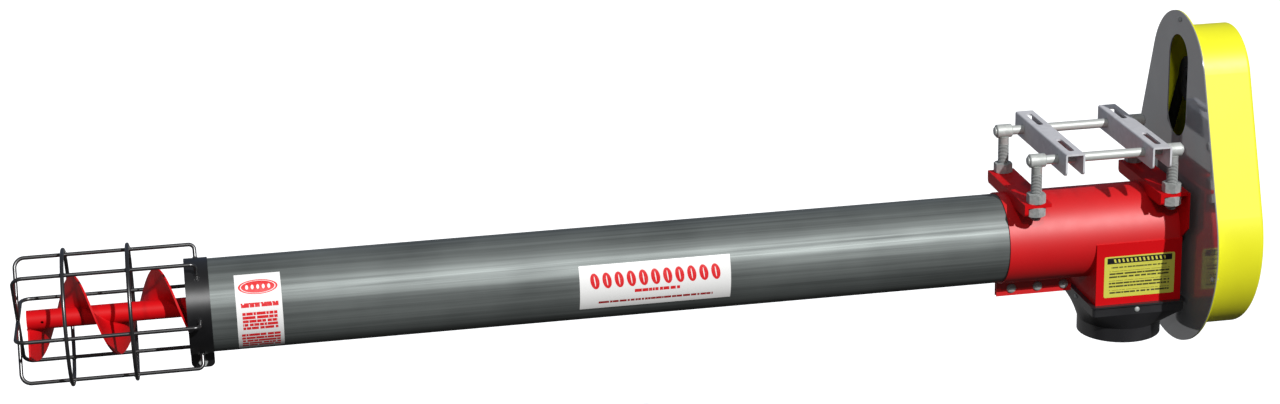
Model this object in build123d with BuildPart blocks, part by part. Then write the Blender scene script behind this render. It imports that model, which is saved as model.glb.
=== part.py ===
"""Grain auger: a steel tube with a spinning screw inside, a wire guard at the intake, a discharge
head with a square-to-round spout, a belt drive under a guard, and a slotted motor mount on top.

Millimetres, +Z up. +X runs along the tube from the intake to the drive end. The origin is the centre
of the spout's round mouth, and the screw's axis is AXIS_Z above it.
"""
import os
from math import asin, cos, degrees, radians, sin, sqrt, tan

from build123d import *

os.makedirs("parts", exist_ok=True)

# ---------------------------------------------------------------- driving dimensions
# Tube and screw
TUBE_OD = 152.4
TUBE_WALL = 1.5
TUBE_LENGTH = 1506.0
TUBE_IN_HEAD = 140.0  # how far the tube runs into the head sleeve
CORE_OD = 31.75
CORE_WALL = 3.0
FLIGHT_CLEARANCE = 8.025  # from the tube's wall
FLIGHT_PITCH = 133.35
FLIGHT_THICKNESS = 3.2
FLIGHT_START_ANGLE = 141.4  # turned from straight up towards -Y
INTAKE_TURNS = 2
TUBE_TURNS = 11
DISCHARGE_TURNS = 1
FLIGHT_ROOT_WELD = 0.3  # how far the flight's root is let into the pipe
CORE_CROSS_HOLE = 5.0  # for an extension's pin, near the intake end
CORE_CROSS_HOLE_FROM_END = 24.5

# Intake guard
ROD_DIAMETER = 6.35
CAGE_LENGTH = 287.6  # collar centre to the crossing rods
BAR_BEYOND_COLLAR = 24.05
BAR_COUNT = 6
BAR_BEND = 16.0
BAR_END_BEND = 9.0
RING_1_FROM_END = 79.2
RING_SPACING = 102.1
CORE_BEHIND_CAGE_END = 14.1

# Collar
COLLAR_WIDTH = 38.1
COLLAR_SHEET = 2.3
COLLAR_OVERHANG = 2.5  # collar edge beyond the tube's end
COLLAR_EAR_DROP = 26.0
COLLAR_EAR_GAP = 8.0
COLLAR_EAR_CORNER = 9.0
COLLAR_BOLT_DROP = 16.0
COLLAR_BOLT_DIAMETER = 8.0
COLLAR_BOLT_STICKOUT = 10.0

# Fasteners
BOLT_HOLE_CLEARANCE = 0.3
SCREW_HOLE_CLEARANCE = 0.2
THREAD_CLEARANCE = 0.08
M8_FLATS = 13.0
M8_HEAD_HEIGHT = 5.3
M8_NUT_HEIGHT = 6.5

# Discharge head
AXIS_Z = 185.0
SLEEVE_X0 = -224.0
SLEEVE_LENGTH = 300.0
SLEEVE_SHEET = 2.0
SLEEVE_CLEARANCE = 0.15
PINCH_FLANGE_LENGTH = 134.0
PINCH_FLANGE_DROP = 26.7
PINCH_GAP = 6.0
PINCH_BOLT_DROP = 13.6
PINCH_BOLT_DIAMETER = 7.94
PINCH_BOLT_COUNT = 3
PINCH_BOLT_STICKOUT = 9.0
PINCH_HEAD_RADIUS = 8.6
PINCH_HEAD_HEIGHT = 4.4
PINCH_HEAD_TAPER = 28
PINCH_NUT_FLATS = 12.7
PINCH_NUT_HEIGHT = 6.7
PINCH_FIRST_BOLT = 26.5
PINCH_BOLT_SPACING = 46.85
BOX_FROM_SLEEVE_END = 151.5
BOX_SHEET = 2.3
BOX_BELOW_SLEEVE = 47.65
SLEEVE_LAP_IN_BOX = 8.0
END_PLATE_THICKNESS = 3.0
END_PLATE_BEYOND_STUDS = 18.95
END_PLATE_SHOULDER_Z = 26.0
END_PLATE_WAIST_Z = 3.0

# Spout
OUTLET_OD = 143.2
SPOUT_WALL = 3.4
SKIRT_WALL = 5.6
SKIRT_CORNER = 1.0
SKIRT_LIP = 3.0  # bead round the skirt's top edge, standing out and as high
SPOUT_CLEARANCE = 0.4
SKIRT_HEIGHT = 18.5
SKIRT_LAP = 17.0  # how much of the box the skirt covers
ROUND_HEIGHT = 24.5
SPOUT_SCREW_DIAMETER = 4.2
SPOUT_SCREW_HEAD = 9.5
SPOUT_SCREW_HEAD_HEIGHT = 2.6
SPOUT_SCREW_HEAD_TAPER = 20
SPOUT_SCREW_STICKOUT = 5.0
SPOUT_SCREW_BELOW_BOX_EDGE = 10.0

# Saddle brackets
BRACKET_THICKNESS = 6.35
BRACKET_WIDTH = 46.5
BRACKET_BEYOND_STUDS = 12.55
BRACKET_LEG = 21.0
BRACKET_ABOVE_SLEEVE = 10.85
FIRST_STUD_FROM_SLEEVE_END = 38.5
STUD_SPACING_X = 238.2
STUD_BEYOND_SLEEVE = 10.7

# Motor base
STUD_DIAMETER = 19.05
STUD_HOLE_CLEARANCE = 0.4
STUD_CHAMFER = 1.6
NUT_FLATS = 28.6
NUT_HEIGHT = 16.3
STUD_TIP_BELOW_NUT = 8.0
BARREL_OD = 23.0
BARREL_LENGTH = 28.0
ROD_HEIGHT = 162.5  # motor-base rods above the screw's axis
SLIDE_ROD_DIAMETER = 15.875
SLIDE_ROD_STICKOUT = 3.0  # beyond each barrel
SLIDE_ROD_CHAMFER = 1.4
ROD_PRESS_CLEARANCE = 0.05
RAIL_SLIDE_CLEARANCE = 0.4
RAIL_WIDTH = 33.2
RAIL_DEPTH = 38.1
RAIL_BEYOND_STUDS = 43.65
RAIL_THICKNESS = 3.2
RAIL_END_CORNER = 8.0
RAIL_TOP_ABOVE_ROD = 19.7
RAIL_1_FROM_STUD = 51.65
RAIL_SPACING = 150.7
SLOT_LENGTH = 70.0
SLOT_WIDTH = 10.3
SLOT_SPACING = 158.0

# Bearing and drive shaft
SHAFT_IN_CORE_CLEARANCE = 0.175
SHAFT_IN_CORE = 80.0
CORE_TO_END_PLATE = 7.0
SHAFT_BEYOND_HUB = 6.0
SHAFT_CHAMFER = 1.0
BEARING_BEYOND_SHAFT = 12.7
BEARING_WIDTH = 12.7
RING_RECESS = 0.5  # race's side below the housing's
RING_THICKNESS = 3.6
BALL_DIAMETER = 7.94
BALL_COUNT = 9
BALL_CLEARANCE = 0.05
BEARING_BOLT_BEYOND_BEARING = 12.6
HOUSING_BEYOND_BOLTS = 11.0
BEARING_BOLT_DIAMETER = 8.0
BEARING_BOLTS = 4
BEARING_BOLT_STICKOUT = 9.0
LOCK_COLLAR_BEYOND_SHAFT = 6.3
LOCK_COLLAR_LENGTH = 12.0
LOCK_COLLAR_FROM_SHEAVE = 1.0
LOCK_SCREW_DIAMETER = 6.0
LOCK_SCREW_SOCKET = 1.5
PLATE_HOLE_INSIDE_BEARING = 3.9
COUPLING_BOLT_DIAMETER = 9.5
COUPLING_BOLT_FLATS = 14.2
COUPLING_HEAD_HEIGHT = 6.0
COUPLING_NUT_HEIGHT = 8.0
COUPLING_BOLT_STICKOUT = 11.0

# Belt drive and guard
CENTRE_DISTANCE = 256.8  # screw axis to motor sheave axis
DRIVEN_SHEAVE_OD = 304.8
MOTOR_SHEAVE_OD = 77.5
SHEAVE_FACE = 22.0
SHEAVE_HUB_LENGTH = 38.0
DRIVEN_HUB_BEYOND_SHAFT = 16.3
MOTOR_HUB_OD = 40.0
MOTOR_BORE_RADIUS = 7.95
SHEAVE_WEB = 8.0
SHEAVE_RIM = 7.0  # metal under the groove
SHEAVE_WEB_HOLES = 5
SET_SCREW_DIAMETER = 8.0
SET_SCREW_FROM_HUB_END = 8.0
SET_SCREW_SOCKET = 2.0
SET_SCREW_SOCKET_DEPTH = 3.5
SET_SCREW_BELOW_HUB = 1.0
BELT_TOP_WIDTH = 16.7
BELT_HEIGHT = 10.3
BELT_SIDE_ANGLE = 20.0
BELT_PROUD = 0.5
BELT_CLEARANCE = 0.35
SHEAVE_FROM_GUARD = 15.4  # sheave's near face from the guard plate's far face
DRIVEN_KEY = 6.35
KEYWAY_SHORT_OF_HUB = 4.0
KEY_SHORT_OF_HUB = 6.0
MOTOR_KEY = 4.76
KEY_CLEARANCE = 0.05
SHAFT_FIT_CLEARANCE = 0.03
GUARD_PLATE_THICKNESS = 2.0
GUARD_BEYOND_DRIVEN_SHEAVE = 50.6
GUARD_BEYOND_MOTOR_SHEAVE = 80.25
GUARD_RIM = 27.0
COVER_SHEET = 2.0
COVER_DEPTH = 92.4
COVER_EDGE_FILLET = 6.0
SLOT_OPENING_WIDTH = 84.0
SLOT_OPENING_HEIGHT = 177.0
SLOT_OPENING_CENTRE = 247.5
GUARD_SCREW_DIAMETER = 5.0
GUARD_SCREW_HEAD = 9.0
GUARD_SCREW_HEAD_HEIGHT = 2.8
GUARD_SCREW_HEAD_TAPER = 25
GUARD_SCREW_STICKOUT = 6.0
GUARD_SCREW_ANGLE = -12.0  # of the two lower ones, from level

# ---------------------------------------------------------------- derived places
TUBE_R = TUBE_OD / 2
FLIGHT_OD = TUBE_OD - 2 * (TUBE_WALL + FLIGHT_CLEARANCE)
TUBE_X1 = SLEEVE_X0 + TUBE_IN_HEAD
TUBE_X0 = TUBE_X1 - TUBE_LENGTH
COLLAR_X = TUBE_X0 - COLLAR_OVERHANG + COLLAR_WIDTH / 2
COLLAR_R = TUBE_R + SLEEVE_CLEARANCE + COLLAR_SHEET
BAR_RADIUS = COLLAR_R + BAR_BEYOND_COLLAR
CAGE_X0 = COLLAR_X - CAGE_LENGTH
SCREW_X0 = CAGE_X0 + CORE_BEHIND_CAGE_END
SLEEVE_R = TUBE_R + SLEEVE_CLEARANCE + SLEEVE_SHEET
BOX_DEPTH = SLEEVE_R + BOX_BELOW_SLEEVE  # below the screw's axis
BRACKET_TOP = SLEEVE_R + BRACKET_ABOVE_SLEEVE  # above the screw's axis
STUD_SPACING_Y = 2 * (SLEEVE_R + STUD_BEYOND_SLEEVE)
BRACKET_LENGTH = STUD_SPACING_Y + 2 * BRACKET_BEYOND_STUDS
RAIL_LENGTH = STUD_SPACING_Y + 2 * RAIL_BEYOND_STUDS
END_PLATE_HALF_WIDTH = STUD_SPACING_Y / 2 + END_PLATE_BEYOND_STUDS
SHAFT_DIAMETER = CORE_OD - 2 * (CORE_WALL + SHAFT_IN_CORE_CLEARANCE)
BEARING_OD = SHAFT_DIAMETER + 2 * BEARING_BEYOND_SHAFT
BEARING_BOLT_CIRCLE = BEARING_OD + 2 * BEARING_BOLT_BEYOND_BEARING
HOUSING_OD = BEARING_BOLT_CIRCLE + 2 * HOUSING_BEYOND_BOLTS
PLATE_HOLE_RADIUS = BEARING_OD / 2 - PLATE_HOLE_INSIDE_BEARING
LOCK_COLLAR_OD = SHAFT_DIAMETER + 2 * LOCK_COLLAR_BEYOND_SHAFT
DRIVEN_HUB_OD = SHAFT_DIAMETER + 2 * DRIVEN_HUB_BEYOND_SHAFT
GUARD_LOW_RADIUS = DRIVEN_SHEAVE_OD / 2 + GUARD_BEYOND_DRIVEN_SHEAVE
GUARD_HIGH_RADIUS = MOTOR_SHEAVE_OD / 2 + GUARD_BEYOND_MOTOR_SHEAVE
BOX_X0 = SLEEVE_X0 + BOX_FROM_SLEEVE_END
END_PLATE_X0 = SLEEVE_X0 + SLEEVE_LENGTH
END_PLATE_X1 = END_PLATE_X0 + END_PLATE_THICKNESS
GUARD_X0 = END_PLATE_X1 + BEARING_WIDTH
GUARD_X1 = GUARD_X0 + GUARD_PLATE_THICKNESS
SHEAVE_X0 = GUARD_X1 + SHEAVE_FROM_GUARD
SHEAVE_X1 = SHEAVE_X0 + SHEAVE_HUB_LENGTH
BELT_X = SHEAVE_X0 + SHEAVE_FACE / 2
BOX_HALF_Y = SLEEVE_R + BOX_SHEET
STUD_XS = (
    SLEEVE_X0 + FIRST_STUD_FROM_SLEEVE_END,
    SLEEVE_X0 + FIRST_STUD_FROM_SLEEVE_END + STUD_SPACING_X,
)
STUD_YS = (-STUD_SPACING_Y / 2, STUD_SPACING_Y / 2)
ROD_Z = AXIS_Z + ROD_HEIGHT
BRACKET_TOP_Z = AXIS_Z + BRACKET_TOP
RAIL_TOP_Z = ROD_Z + RAIL_TOP_ABOVE_ROD
RAIL_XS = (
    STUD_XS[0] + RAIL_1_FROM_STUD,
    STUD_XS[0] + RAIL_1_FROM_STUD + RAIL_SPACING,
)
MOTOR_Z = AXIS_Z + CENTRE_DISTANCE


# ---------------------------------------------------------------- helpers
def save(piece, label):
    """Name a finished piece and write it as one STEP file."""
    piece.part.label = label
    export_step(piece.part, f"parts/{label}.step")


def across(x, z=AXIS_Z):
    """Plane that faces +X at x, centred on the screw's axis unless z says otherwise."""
    return Plane(origin=(x, 0, z), x_dir=(0, 1, 0), z_dir=(1, 0, 0))


def facing_y(y, z=0.0):
    """Plane that faces -Y at y, with +X to the right and +Z up."""
    return Plane(origin=(0, y, z), x_dir=(1, 0, 0), z_dir=(0, -1, 0))


def radial(angle, x=0.0):
    """Plane through the screw's axis: local x runs along it, local y points out at the angle.

    The angle is counted from -Y upwards.
    """
    outward = Vector(0, -cos(radians(angle)), sin(radians(angle)))
    return Plane(origin=(x, 0, AXIS_Z), x_dir=(1, 0, 0), z_dir=Vector(1, 0, 0).cross(outward))


def teardrop(low_radius, high_radius):
    """Guard outline on the axis: two round ends joined by their common tangents."""
    lean = degrees(asin((low_radius - high_radius) / CENTRE_DISTANCE))
    with BuildSketch(mode=Mode.PRIVATE) as outline:
        with BuildLine():
            top = CenterArc((0, CENTRE_DISTANCE), high_radius, lean, 180 - 2 * lean)
            bottom = CenterArc((0, 0), low_radius, 180 - lean, 180 + 2 * lean)
            Line(top @ 1, bottom @ 0)
            Line(bottom @ 1, top @ 0)
        make_face()
    return outline.sketch


def rim_screw_places():
    """Three places on the guard's rim, half way between the cover's wall and the plate's edge."""
    low = GUARD_LOW_RADIUS - GUARD_RIM / 2
    high = GUARD_HIGH_RADIUS - GUARD_RIM / 2
    reach = low * cos(radians(GUARD_SCREW_ANGLE))
    drop = low * sin(radians(GUARD_SCREW_ANGLE))
    return [(0, CENTRE_DISTANCE + high), (-reach, drop), (reach, drop)]


def flight_turn(turn):
    """One pressed turn of right-hand flighting, the given number of pitches from the intake end."""
    outward = Vector(0, -sin(radians(FLIGHT_START_ANGLE)), cos(radians(FLIGHT_START_ANGLE)))
    start = Vector(SCREW_X0 + turn * FLIGHT_PITCH, 0, AXIS_Z)
    root = CORE_OD / 2 - FLIGHT_ROOT_WELD
    depth = FLIGHT_OD / 2 - root
    wound = Plane(origin=start, x_dir=outward, z_dir=(1, 0, 0))
    with BuildPart() as section:
        with BuildLine():
            path = add(wound * Helix(FLIGHT_PITCH, FLIGHT_PITCH, FLIGHT_OD / 4, mode=Mode.PRIVATE))
        with BuildSketch(Plane(origin=start, x_dir=(1, 0, 0), z_dir=Vector(1, 0, 0).cross(outward))):
            with Locations((FLIGHT_THICKNESS / 2, root + depth / 2)):
                Rectangle(FLIGHT_THICKNESS, depth)
        sweep(is_frenet=True)
    return section.part


def flights(label, first, count):
    """A run of butt-welded flight turns, written as one group of separate solids."""
    turns = [flight_turn(first + k) for k in range(count)]
    export_step(Compound(label=label, children=turns), f"parts/{label}.step")


def hex_nuts(label, places, plane, flats, bore, height):
    """Plain hexagon nuts standing on a plane at the given places."""
    with BuildPart() as nuts:
        with BuildSketch(plane):
            with Locations(*places):
                RegularPolygon(flats / 2, 6, major_radius=False)
                Circle(bore, mode=Mode.SUBTRACT)
        extrude(amount=height)
    save(nuts, label)


# ---------------------------------------------------------------- tube and intake guard
with BuildPart() as tube:
    with BuildSketch(across(TUBE_X0)):
        Circle(TUBE_R)
        Circle(TUBE_R - TUBE_WALL, mode=Mode.SUBTRACT)
    extrude(amount=TUBE_LENGTH)
save(tube, "tube")

ear_outer = COLLAR_EAR_GAP / 2 + COLLAR_SHEET
collar_bolt_z = AXIS_Z - COLLAR_R - COLLAR_BOLT_DROP
with BuildPart() as collar:
    with BuildSketch(across(COLLAR_X - COLLAR_WIDTH / 2)):
        Circle(COLLAR_R)
        with Locations((0, -COLLAR_R + COLLAR_SHEET)):
            Rectangle(2 * ear_outer, COLLAR_EAR_DROP + COLLAR_SHEET, align=(Align.CENTER, Align.MAX))
        Circle(COLLAR_R - COLLAR_SHEET, mode=Mode.SUBTRACT)
        Rectangle(COLLAR_EAR_GAP, 2 * TUBE_OD, align=(Align.CENTER, Align.MAX), mode=Mode.SUBTRACT)
    extrude(amount=COLLAR_WIDTH)
    ear_corners = collar.edges().filter_by(Axis.Y).group_by(Axis.Z)[0]
    fillet(ear_corners, COLLAR_EAR_CORNER)
    with BuildSketch(facing_y(-ear_outer)):
        with Locations((COLLAR_X, collar_bolt_z)):
            Circle(COLLAR_BOLT_DIAMETER / 2 + BOLT_HOLE_CLEARANCE)
    extrude(amount=-2 * ear_outer, mode=Mode.SUBTRACT)
save(collar, "intake_collar")

with BuildPart() as collar_bolt:
    with BuildSketch(facing_y(-ear_outer)):
        with Locations((COLLAR_X, collar_bolt_z)):
            RegularPolygon(M8_FLATS / 2, 6, major_radius=False)
    extrude(amount=M8_HEAD_HEIGHT)
    with BuildSketch(facing_y(-ear_outer)):
        with Locations((COLLAR_X, collar_bolt_z)):
            Circle(COLLAR_BOLT_DIAMETER / 2)
    extrude(amount=-(2 * ear_outer + COLLAR_BOLT_STICKOUT))
save(collar_bolt, "collar_bolt")
hex_nuts(
    "collar_nut",
    [(COLLAR_X, -collar_bolt_z)],
    Plane(origin=(0, ear_outer, 0), x_dir=(1, 0, 0), z_dir=(0, 1, 0)),
    M8_FLATS,
    COLLAR_BOLT_DIAMETER / 2 + THREAD_CLEARANCE,
    M8_NUT_HEIGHT,
)


def cage_bar(number):
    """One bent guard rod: from the crossing, along the side, and in to the collar."""
    angle = (number - 1) * 360 / BAR_COUNT
    with BuildPart() as bar:
        with BuildLine(radial(angle)):
            path = FilletPolyline(
                (CAGE_X0, 0),
                (CAGE_X0, BAR_RADIUS),
                (COLLAR_X, BAR_RADIUS),
                (COLLAR_X, COLLAR_R),
                radius=[BAR_BEND, BAR_END_BEND],
            )
        with BuildSketch(Plane(origin=path @ 0, z_dir=path % 0)):
            Circle(ROD_DIAMETER / 2)
        sweep(path=path)
        for side in (-1, 1):
            inward = radians(angle + side * (90 - 180 / BAR_COUNT))
            normal = Vector(0, -cos(inward), sin(inward))
            split(bisect_by=Plane(origin=(CAGE_X0, 0, AXIS_Z), z_dir=normal), keep=Keep.TOP)
    save(bar, f"cage_bar_{number}")


for bar_number in range(1, BAR_COUNT + 1):
    cage_bar(bar_number)


def cage_ring(label, x):
    """One round hoop welded round the outside of the guard rods."""
    with BuildPart() as ring:
        with BuildSketch(radial(90)):
            with Locations((x, BAR_RADIUS + ROD_DIAMETER)):
                Circle(ROD_DIAMETER / 2)
        revolve(axis=Axis((0, 0, AXIS_Z), (1, 0, 0)))
    save(ring, label)


cage_ring("cage_ring_outer", CAGE_X0 + RING_1_FROM_END)
cage_ring("cage_ring_inner", CAGE_X0 + RING_1_FROM_END + RING_SPACING)

# ---------------------------------------------------------------- screw
core_x1 = END_PLATE_X0 - CORE_TO_END_PLATE
coupling_x = core_x1 - SHAFT_IN_CORE / 3
with BuildPart() as core_pipe:
    with BuildSketch(across(SCREW_X0)):
        Circle(CORE_OD / 2)
        Circle(CORE_OD / 2 - CORE_WALL, mode=Mode.SUBTRACT)
    extrude(amount=core_x1 - SCREW_X0)
    with Locations(Location((SCREW_X0 + CORE_CROSS_HOLE_FROM_END, 0, AXIS_Z), (90, 0, 0))):
        Cylinder(CORE_CROSS_HOLE / 2, 2 * CORE_OD, mode=Mode.SUBTRACT)
    with Locations(Location((coupling_x, 0, AXIS_Z), (90, 0, 0))):
        Cylinder(COUPLING_BOLT_DIAMETER / 2 + SCREW_HOLE_CLEARANCE, 2 * CORE_OD, mode=Mode.SUBTRACT)
save(core_pipe, "core_pipe")

flights("intake_flights", 0, INTAKE_TURNS)
flights("tube_flights", INTAKE_TURNS, TUBE_TURNS)
flights("discharge_flight", INTAKE_TURNS + TUBE_TURNS, DISCHARGE_TURNS)

shaft_x1 = SHEAVE_X1 + SHAFT_BEYOND_HUB
with BuildPart() as drive_shaft:
    with BuildSketch(across(core_x1 - SHAFT_IN_CORE)):
        Circle(SHAFT_DIAMETER / 2)
    extrude(amount=shaft_x1 - core_x1 + SHAFT_IN_CORE)
    chamfer(drive_shaft.edges().filter_by(GeomType.CIRCLE), SHAFT_CHAMFER)
    with Locations(Location((coupling_x, 0, AXIS_Z), (90, 0, 0))):
        Cylinder(COUPLING_BOLT_DIAMETER / 2 + SCREW_HOLE_CLEARANCE, 2 * CORE_OD, mode=Mode.SUBTRACT)
    with Locations((SHEAVE_X0, 0, AXIS_Z + SHAFT_DIAMETER / 2)):
        Box(
            SHEAVE_HUB_LENGTH - KEYWAY_SHORT_OF_HUB,
            DRIVEN_KEY + 2 * KEY_CLEARANCE,
            DRIVEN_KEY,
            align=(Align.MIN, Align.CENTER, Align.CENTER),
            mode=Mode.SUBTRACT,
        )
save(drive_shaft, "drive_shaft")

with BuildPart() as coupling_bolt:
    with BuildSketch(facing_y(-CORE_OD / 2, AXIS_Z)):
        with Locations((coupling_x, 0)):
            RegularPolygon(COUPLING_BOLT_FLATS / 2, 6, major_radius=False)
    extrude(amount=COUPLING_HEAD_HEIGHT)
    with BuildSketch(facing_y(-CORE_OD / 2, AXIS_Z)):
        with Locations((coupling_x, 0)):
            Circle(COUPLING_BOLT_DIAMETER / 2)
    extrude(amount=-(CORE_OD + COUPLING_BOLT_STICKOUT))
save(coupling_bolt, "coupling_bolt")
hex_nuts(
    "coupling_nut",
    [(coupling_x, -AXIS_Z)],
    Plane(origin=(0, CORE_OD / 2, 0), x_dir=(1, 0, 0), z_dir=(0, 1, 0)),
    COUPLING_BOLT_FLATS,
    COUPLING_BOLT_DIAMETER / 2 + THREAD_CLEARANCE,
    COUPLING_NUT_HEIGHT,
)

# ---------------------------------------------------------------- discharge head
flange_outer = PINCH_GAP / 2 + SLEEVE_SHEET
flange_bottom_z = AXIS_Z - SLEEVE_R - PINCH_FLANGE_DROP
pinch_bolt_z = AXIS_Z - SLEEVE_R - PINCH_BOLT_DROP
pinch_bolt_places = [
    (SLEEVE_X0 + PINCH_FIRST_BOLT + k * PINCH_BOLT_SPACING, pinch_bolt_z) for k in range(PINCH_BOLT_COUNT)
]
with BuildPart() as head_sleeve:
    with BuildSketch(across(SLEEVE_X0)):
        Circle(SLEEVE_R)
        Circle(SLEEVE_R - SLEEVE_SHEET, mode=Mode.SUBTRACT)
        Rectangle(PINCH_GAP, 2 * TUBE_OD, align=(Align.CENTER, Align.MAX), mode=Mode.SUBTRACT)
    extrude(amount=SLEEVE_LENGTH)
    for side in (-1, 1):
        with BuildSketch(facing_y(side * (PINCH_GAP + SLEEVE_SHEET) / 2)):
            with Locations((SLEEVE_X0, AXIS_Z - SLEEVE_R + SLEEVE_SHEET / 2)):
                Rectangle(
                    PINCH_FLANGE_LENGTH,
                    PINCH_FLANGE_DROP + SLEEVE_SHEET / 2,
                    align=(Align.MIN, Align.MAX),
                )
        extrude(amount=SLEEVE_SHEET / 2, both=True)
    with BuildSketch(facing_y(-TUBE_OD)):
        with Locations(*pinch_bolt_places):
            Circle(PINCH_BOLT_DIAMETER / 2 + BOLT_HOLE_CLEARANCE)
    extrude(amount=-2 * TUBE_OD, mode=Mode.SUBTRACT)
    with Locations((BOX_X0 + BOX_SHEET, 0, AXIS_Z - SLEEVE_LAP_IN_BOX)):
        Box(
            SLEEVE_LENGTH,
            2 * TUBE_OD,
            TUBE_OD,
            align=(Align.MIN, Align.CENTER, Align.MAX),
            mode=Mode.SUBTRACT,
        )
save(head_sleeve, "head_sleeve")

with BuildPart() as pinch_bolts:
    with BuildSketch(facing_y(-flange_outer)):
        with Locations(*pinch_bolt_places):
            Circle(PINCH_HEAD_RADIUS)
    extrude(amount=PINCH_HEAD_HEIGHT, taper=PINCH_HEAD_TAPER)
    with BuildSketch(facing_y(-flange_outer)):
        with Locations(*pinch_bolt_places):
            Circle(PINCH_BOLT_DIAMETER / 2)
    extrude(amount=-(2 * flange_outer + PINCH_BOLT_STICKOUT))
save(pinch_bolts, "pinch_bolts")
hex_nuts(
    "pinch_nuts",
    [(x, -z) for x, z in pinch_bolt_places],
    Plane(origin=(0, flange_outer, 0), x_dir=(1, 0, 0), z_dir=(0, 1, 0)),
    PINCH_NUT_FLATS,
    PINCH_BOLT_DIAMETER / 2 + THREAD_CLEARANCE,
    PINCH_NUT_HEIGHT,
)

box_bottom_z = AXIS_Z - BOX_DEPTH
box_length = END_PLATE_X0 - BOX_X0
skirt_top_z = box_bottom_z + SKIRT_LAP
spout_screw_z = skirt_top_z - SPOUT_SCREW_BELOW_BOX_EDGE
with BuildPart() as discharge_box:
    with BuildSketch(Plane.XY.offset(box_bottom_z)):
        with Locations((BOX_X0, 0)):
            Rectangle(box_length, 2 * BOX_HALF_Y, align=(Align.MIN, Align.CENTER))
        with Locations((BOX_X0 + BOX_SHEET, 0)):
            Rectangle(
                box_length,
                2 * (BOX_HALF_Y - BOX_SHEET),
                align=(Align.MIN, Align.CENTER),
                mode=Mode.SUBTRACT,
            )
    extrude(amount=BOX_DEPTH)
    with BuildSketch(across(BOX_X0 - 1)):
        Circle(SLEEVE_R)
    extrude(amount=BOX_SHEET + 1, mode=Mode.SUBTRACT)
    with Locations(Location((0, 0, spout_screw_z), (90, 0, 0))):
        Cylinder(SPOUT_SCREW_DIAMETER / 2 + SCREW_HOLE_CLEARANCE, 3 * BOX_HALF_Y, mode=Mode.SUBTRACT)
    with Locations(Location((BOX_X0, 0, spout_screw_z), (0, 90, 0))):
        Cylinder(SPOUT_SCREW_DIAMETER / 2 + SCREW_HOLE_CLEARANCE, 4 * BOX_SHEET, mode=Mode.SUBTRACT)
save(discharge_box, "discharge_box")

with BuildPart() as end_plate:
    with BuildSketch(across(END_PLATE_X0)):
        with BuildLine():
            right = Polyline(
                (0, -BOX_DEPTH),
                (BOX_HALF_Y, -BOX_DEPTH),
                (BOX_HALF_Y, END_PLATE_WAIST_Z),
                (END_PLATE_HALF_WIDTH, END_PLATE_SHOULDER_Z),
                (END_PLATE_HALF_WIDTH, BRACKET_TOP),
                (0, BRACKET_TOP),
            )
            mirror(right, about=Plane.YZ)
        make_face()
        Circle(PLATE_HOLE_RADIUS, mode=Mode.SUBTRACT)
        with PolarLocations(BEARING_BOLT_CIRCLE / 2, BEARING_BOLTS, start_angle=45):
            Circle(BEARING_BOLT_DIAMETER / 2 + BOLT_HOLE_CLEARANCE, mode=Mode.SUBTRACT)
    extrude(amount=END_PLATE_THICKNESS)
save(end_plate, "end_plate")

# ---------------------------------------------------------------- spout
skirt_bottom_z = skirt_top_z - SKIRT_HEIGHT
skirt_in_x0 = BOX_X0 - SPOUT_CLEARANCE
skirt_in_x1 = END_PLATE_X1 + SPOUT_CLEARANCE
skirt_mid_x = (skirt_in_x0 + skirt_in_x1) / 2
skirt_in_x = skirt_in_x1 - skirt_in_x0
skirt_in_y = 2 * (BOX_HALF_Y + SPOUT_CLEARANCE)
with BuildPart() as spout:
    for skirt_wall, round_wall, mode in ((SKIRT_WALL, SPOUT_WALL, Mode.ADD), (0, 0, Mode.SUBTRACT)):
        mouth_r = OUTLET_OD / 2 - SPOUT_WALL + round_wall
        skirt_x = skirt_in_x + 2 * skirt_wall
        skirt_y = skirt_in_y + 2 * skirt_wall
        with BuildSketch(Plane.XY.offset(skirt_bottom_z)):
            with Locations((skirt_mid_x, 0)):
                RectangleRounded(skirt_x, skirt_y, SKIRT_CORNER + skirt_wall)
        extrude(amount=SKIRT_HEIGHT, mode=mode)
        with BuildSketch(Plane.XY.offset(skirt_bottom_z)):
            with Locations((skirt_mid_x, 0)):
                RectangleRounded(skirt_x, skirt_y, SKIRT_CORNER + skirt_wall)
        with BuildSketch(Plane.XY.offset(ROUND_HEIGHT)):
            Circle(mouth_r)
        loft(mode=mode)
        with BuildSketch(Plane.XY):
            Circle(mouth_r)
        extrude(amount=ROUND_HEIGHT, mode=mode)
    lip_out = 2 * (SKIRT_WALL + SKIRT_LIP)
    with BuildSketch(Plane.XY.offset(skirt_top_z)):
        with Locations((skirt_mid_x, 0)):
            RectangleRounded(skirt_in_x + lip_out, skirt_in_y + lip_out, SKIRT_CORNER + lip_out / 2)
            RectangleRounded(skirt_in_x, skirt_in_y, SKIRT_CORNER, mode=Mode.SUBTRACT)
    extrude(amount=-SKIRT_LIP)
    with Locations(Location((0, 0, spout_screw_z), (90, 0, 0))):
        Cylinder(SPOUT_SCREW_DIAMETER / 2 + SCREW_HOLE_CLEARANCE, 3 * BOX_HALF_Y, mode=Mode.SUBTRACT)
    with Locations(Location((BOX_X0, 0, spout_screw_z), (0, 90, 0))):
        Cylinder(SPOUT_SCREW_DIAMETER / 2 + SCREW_HOLE_CLEARANCE, 6 * SKIRT_WALL, mode=Mode.SUBTRACT)
save(spout, "outlet_spout")

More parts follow.
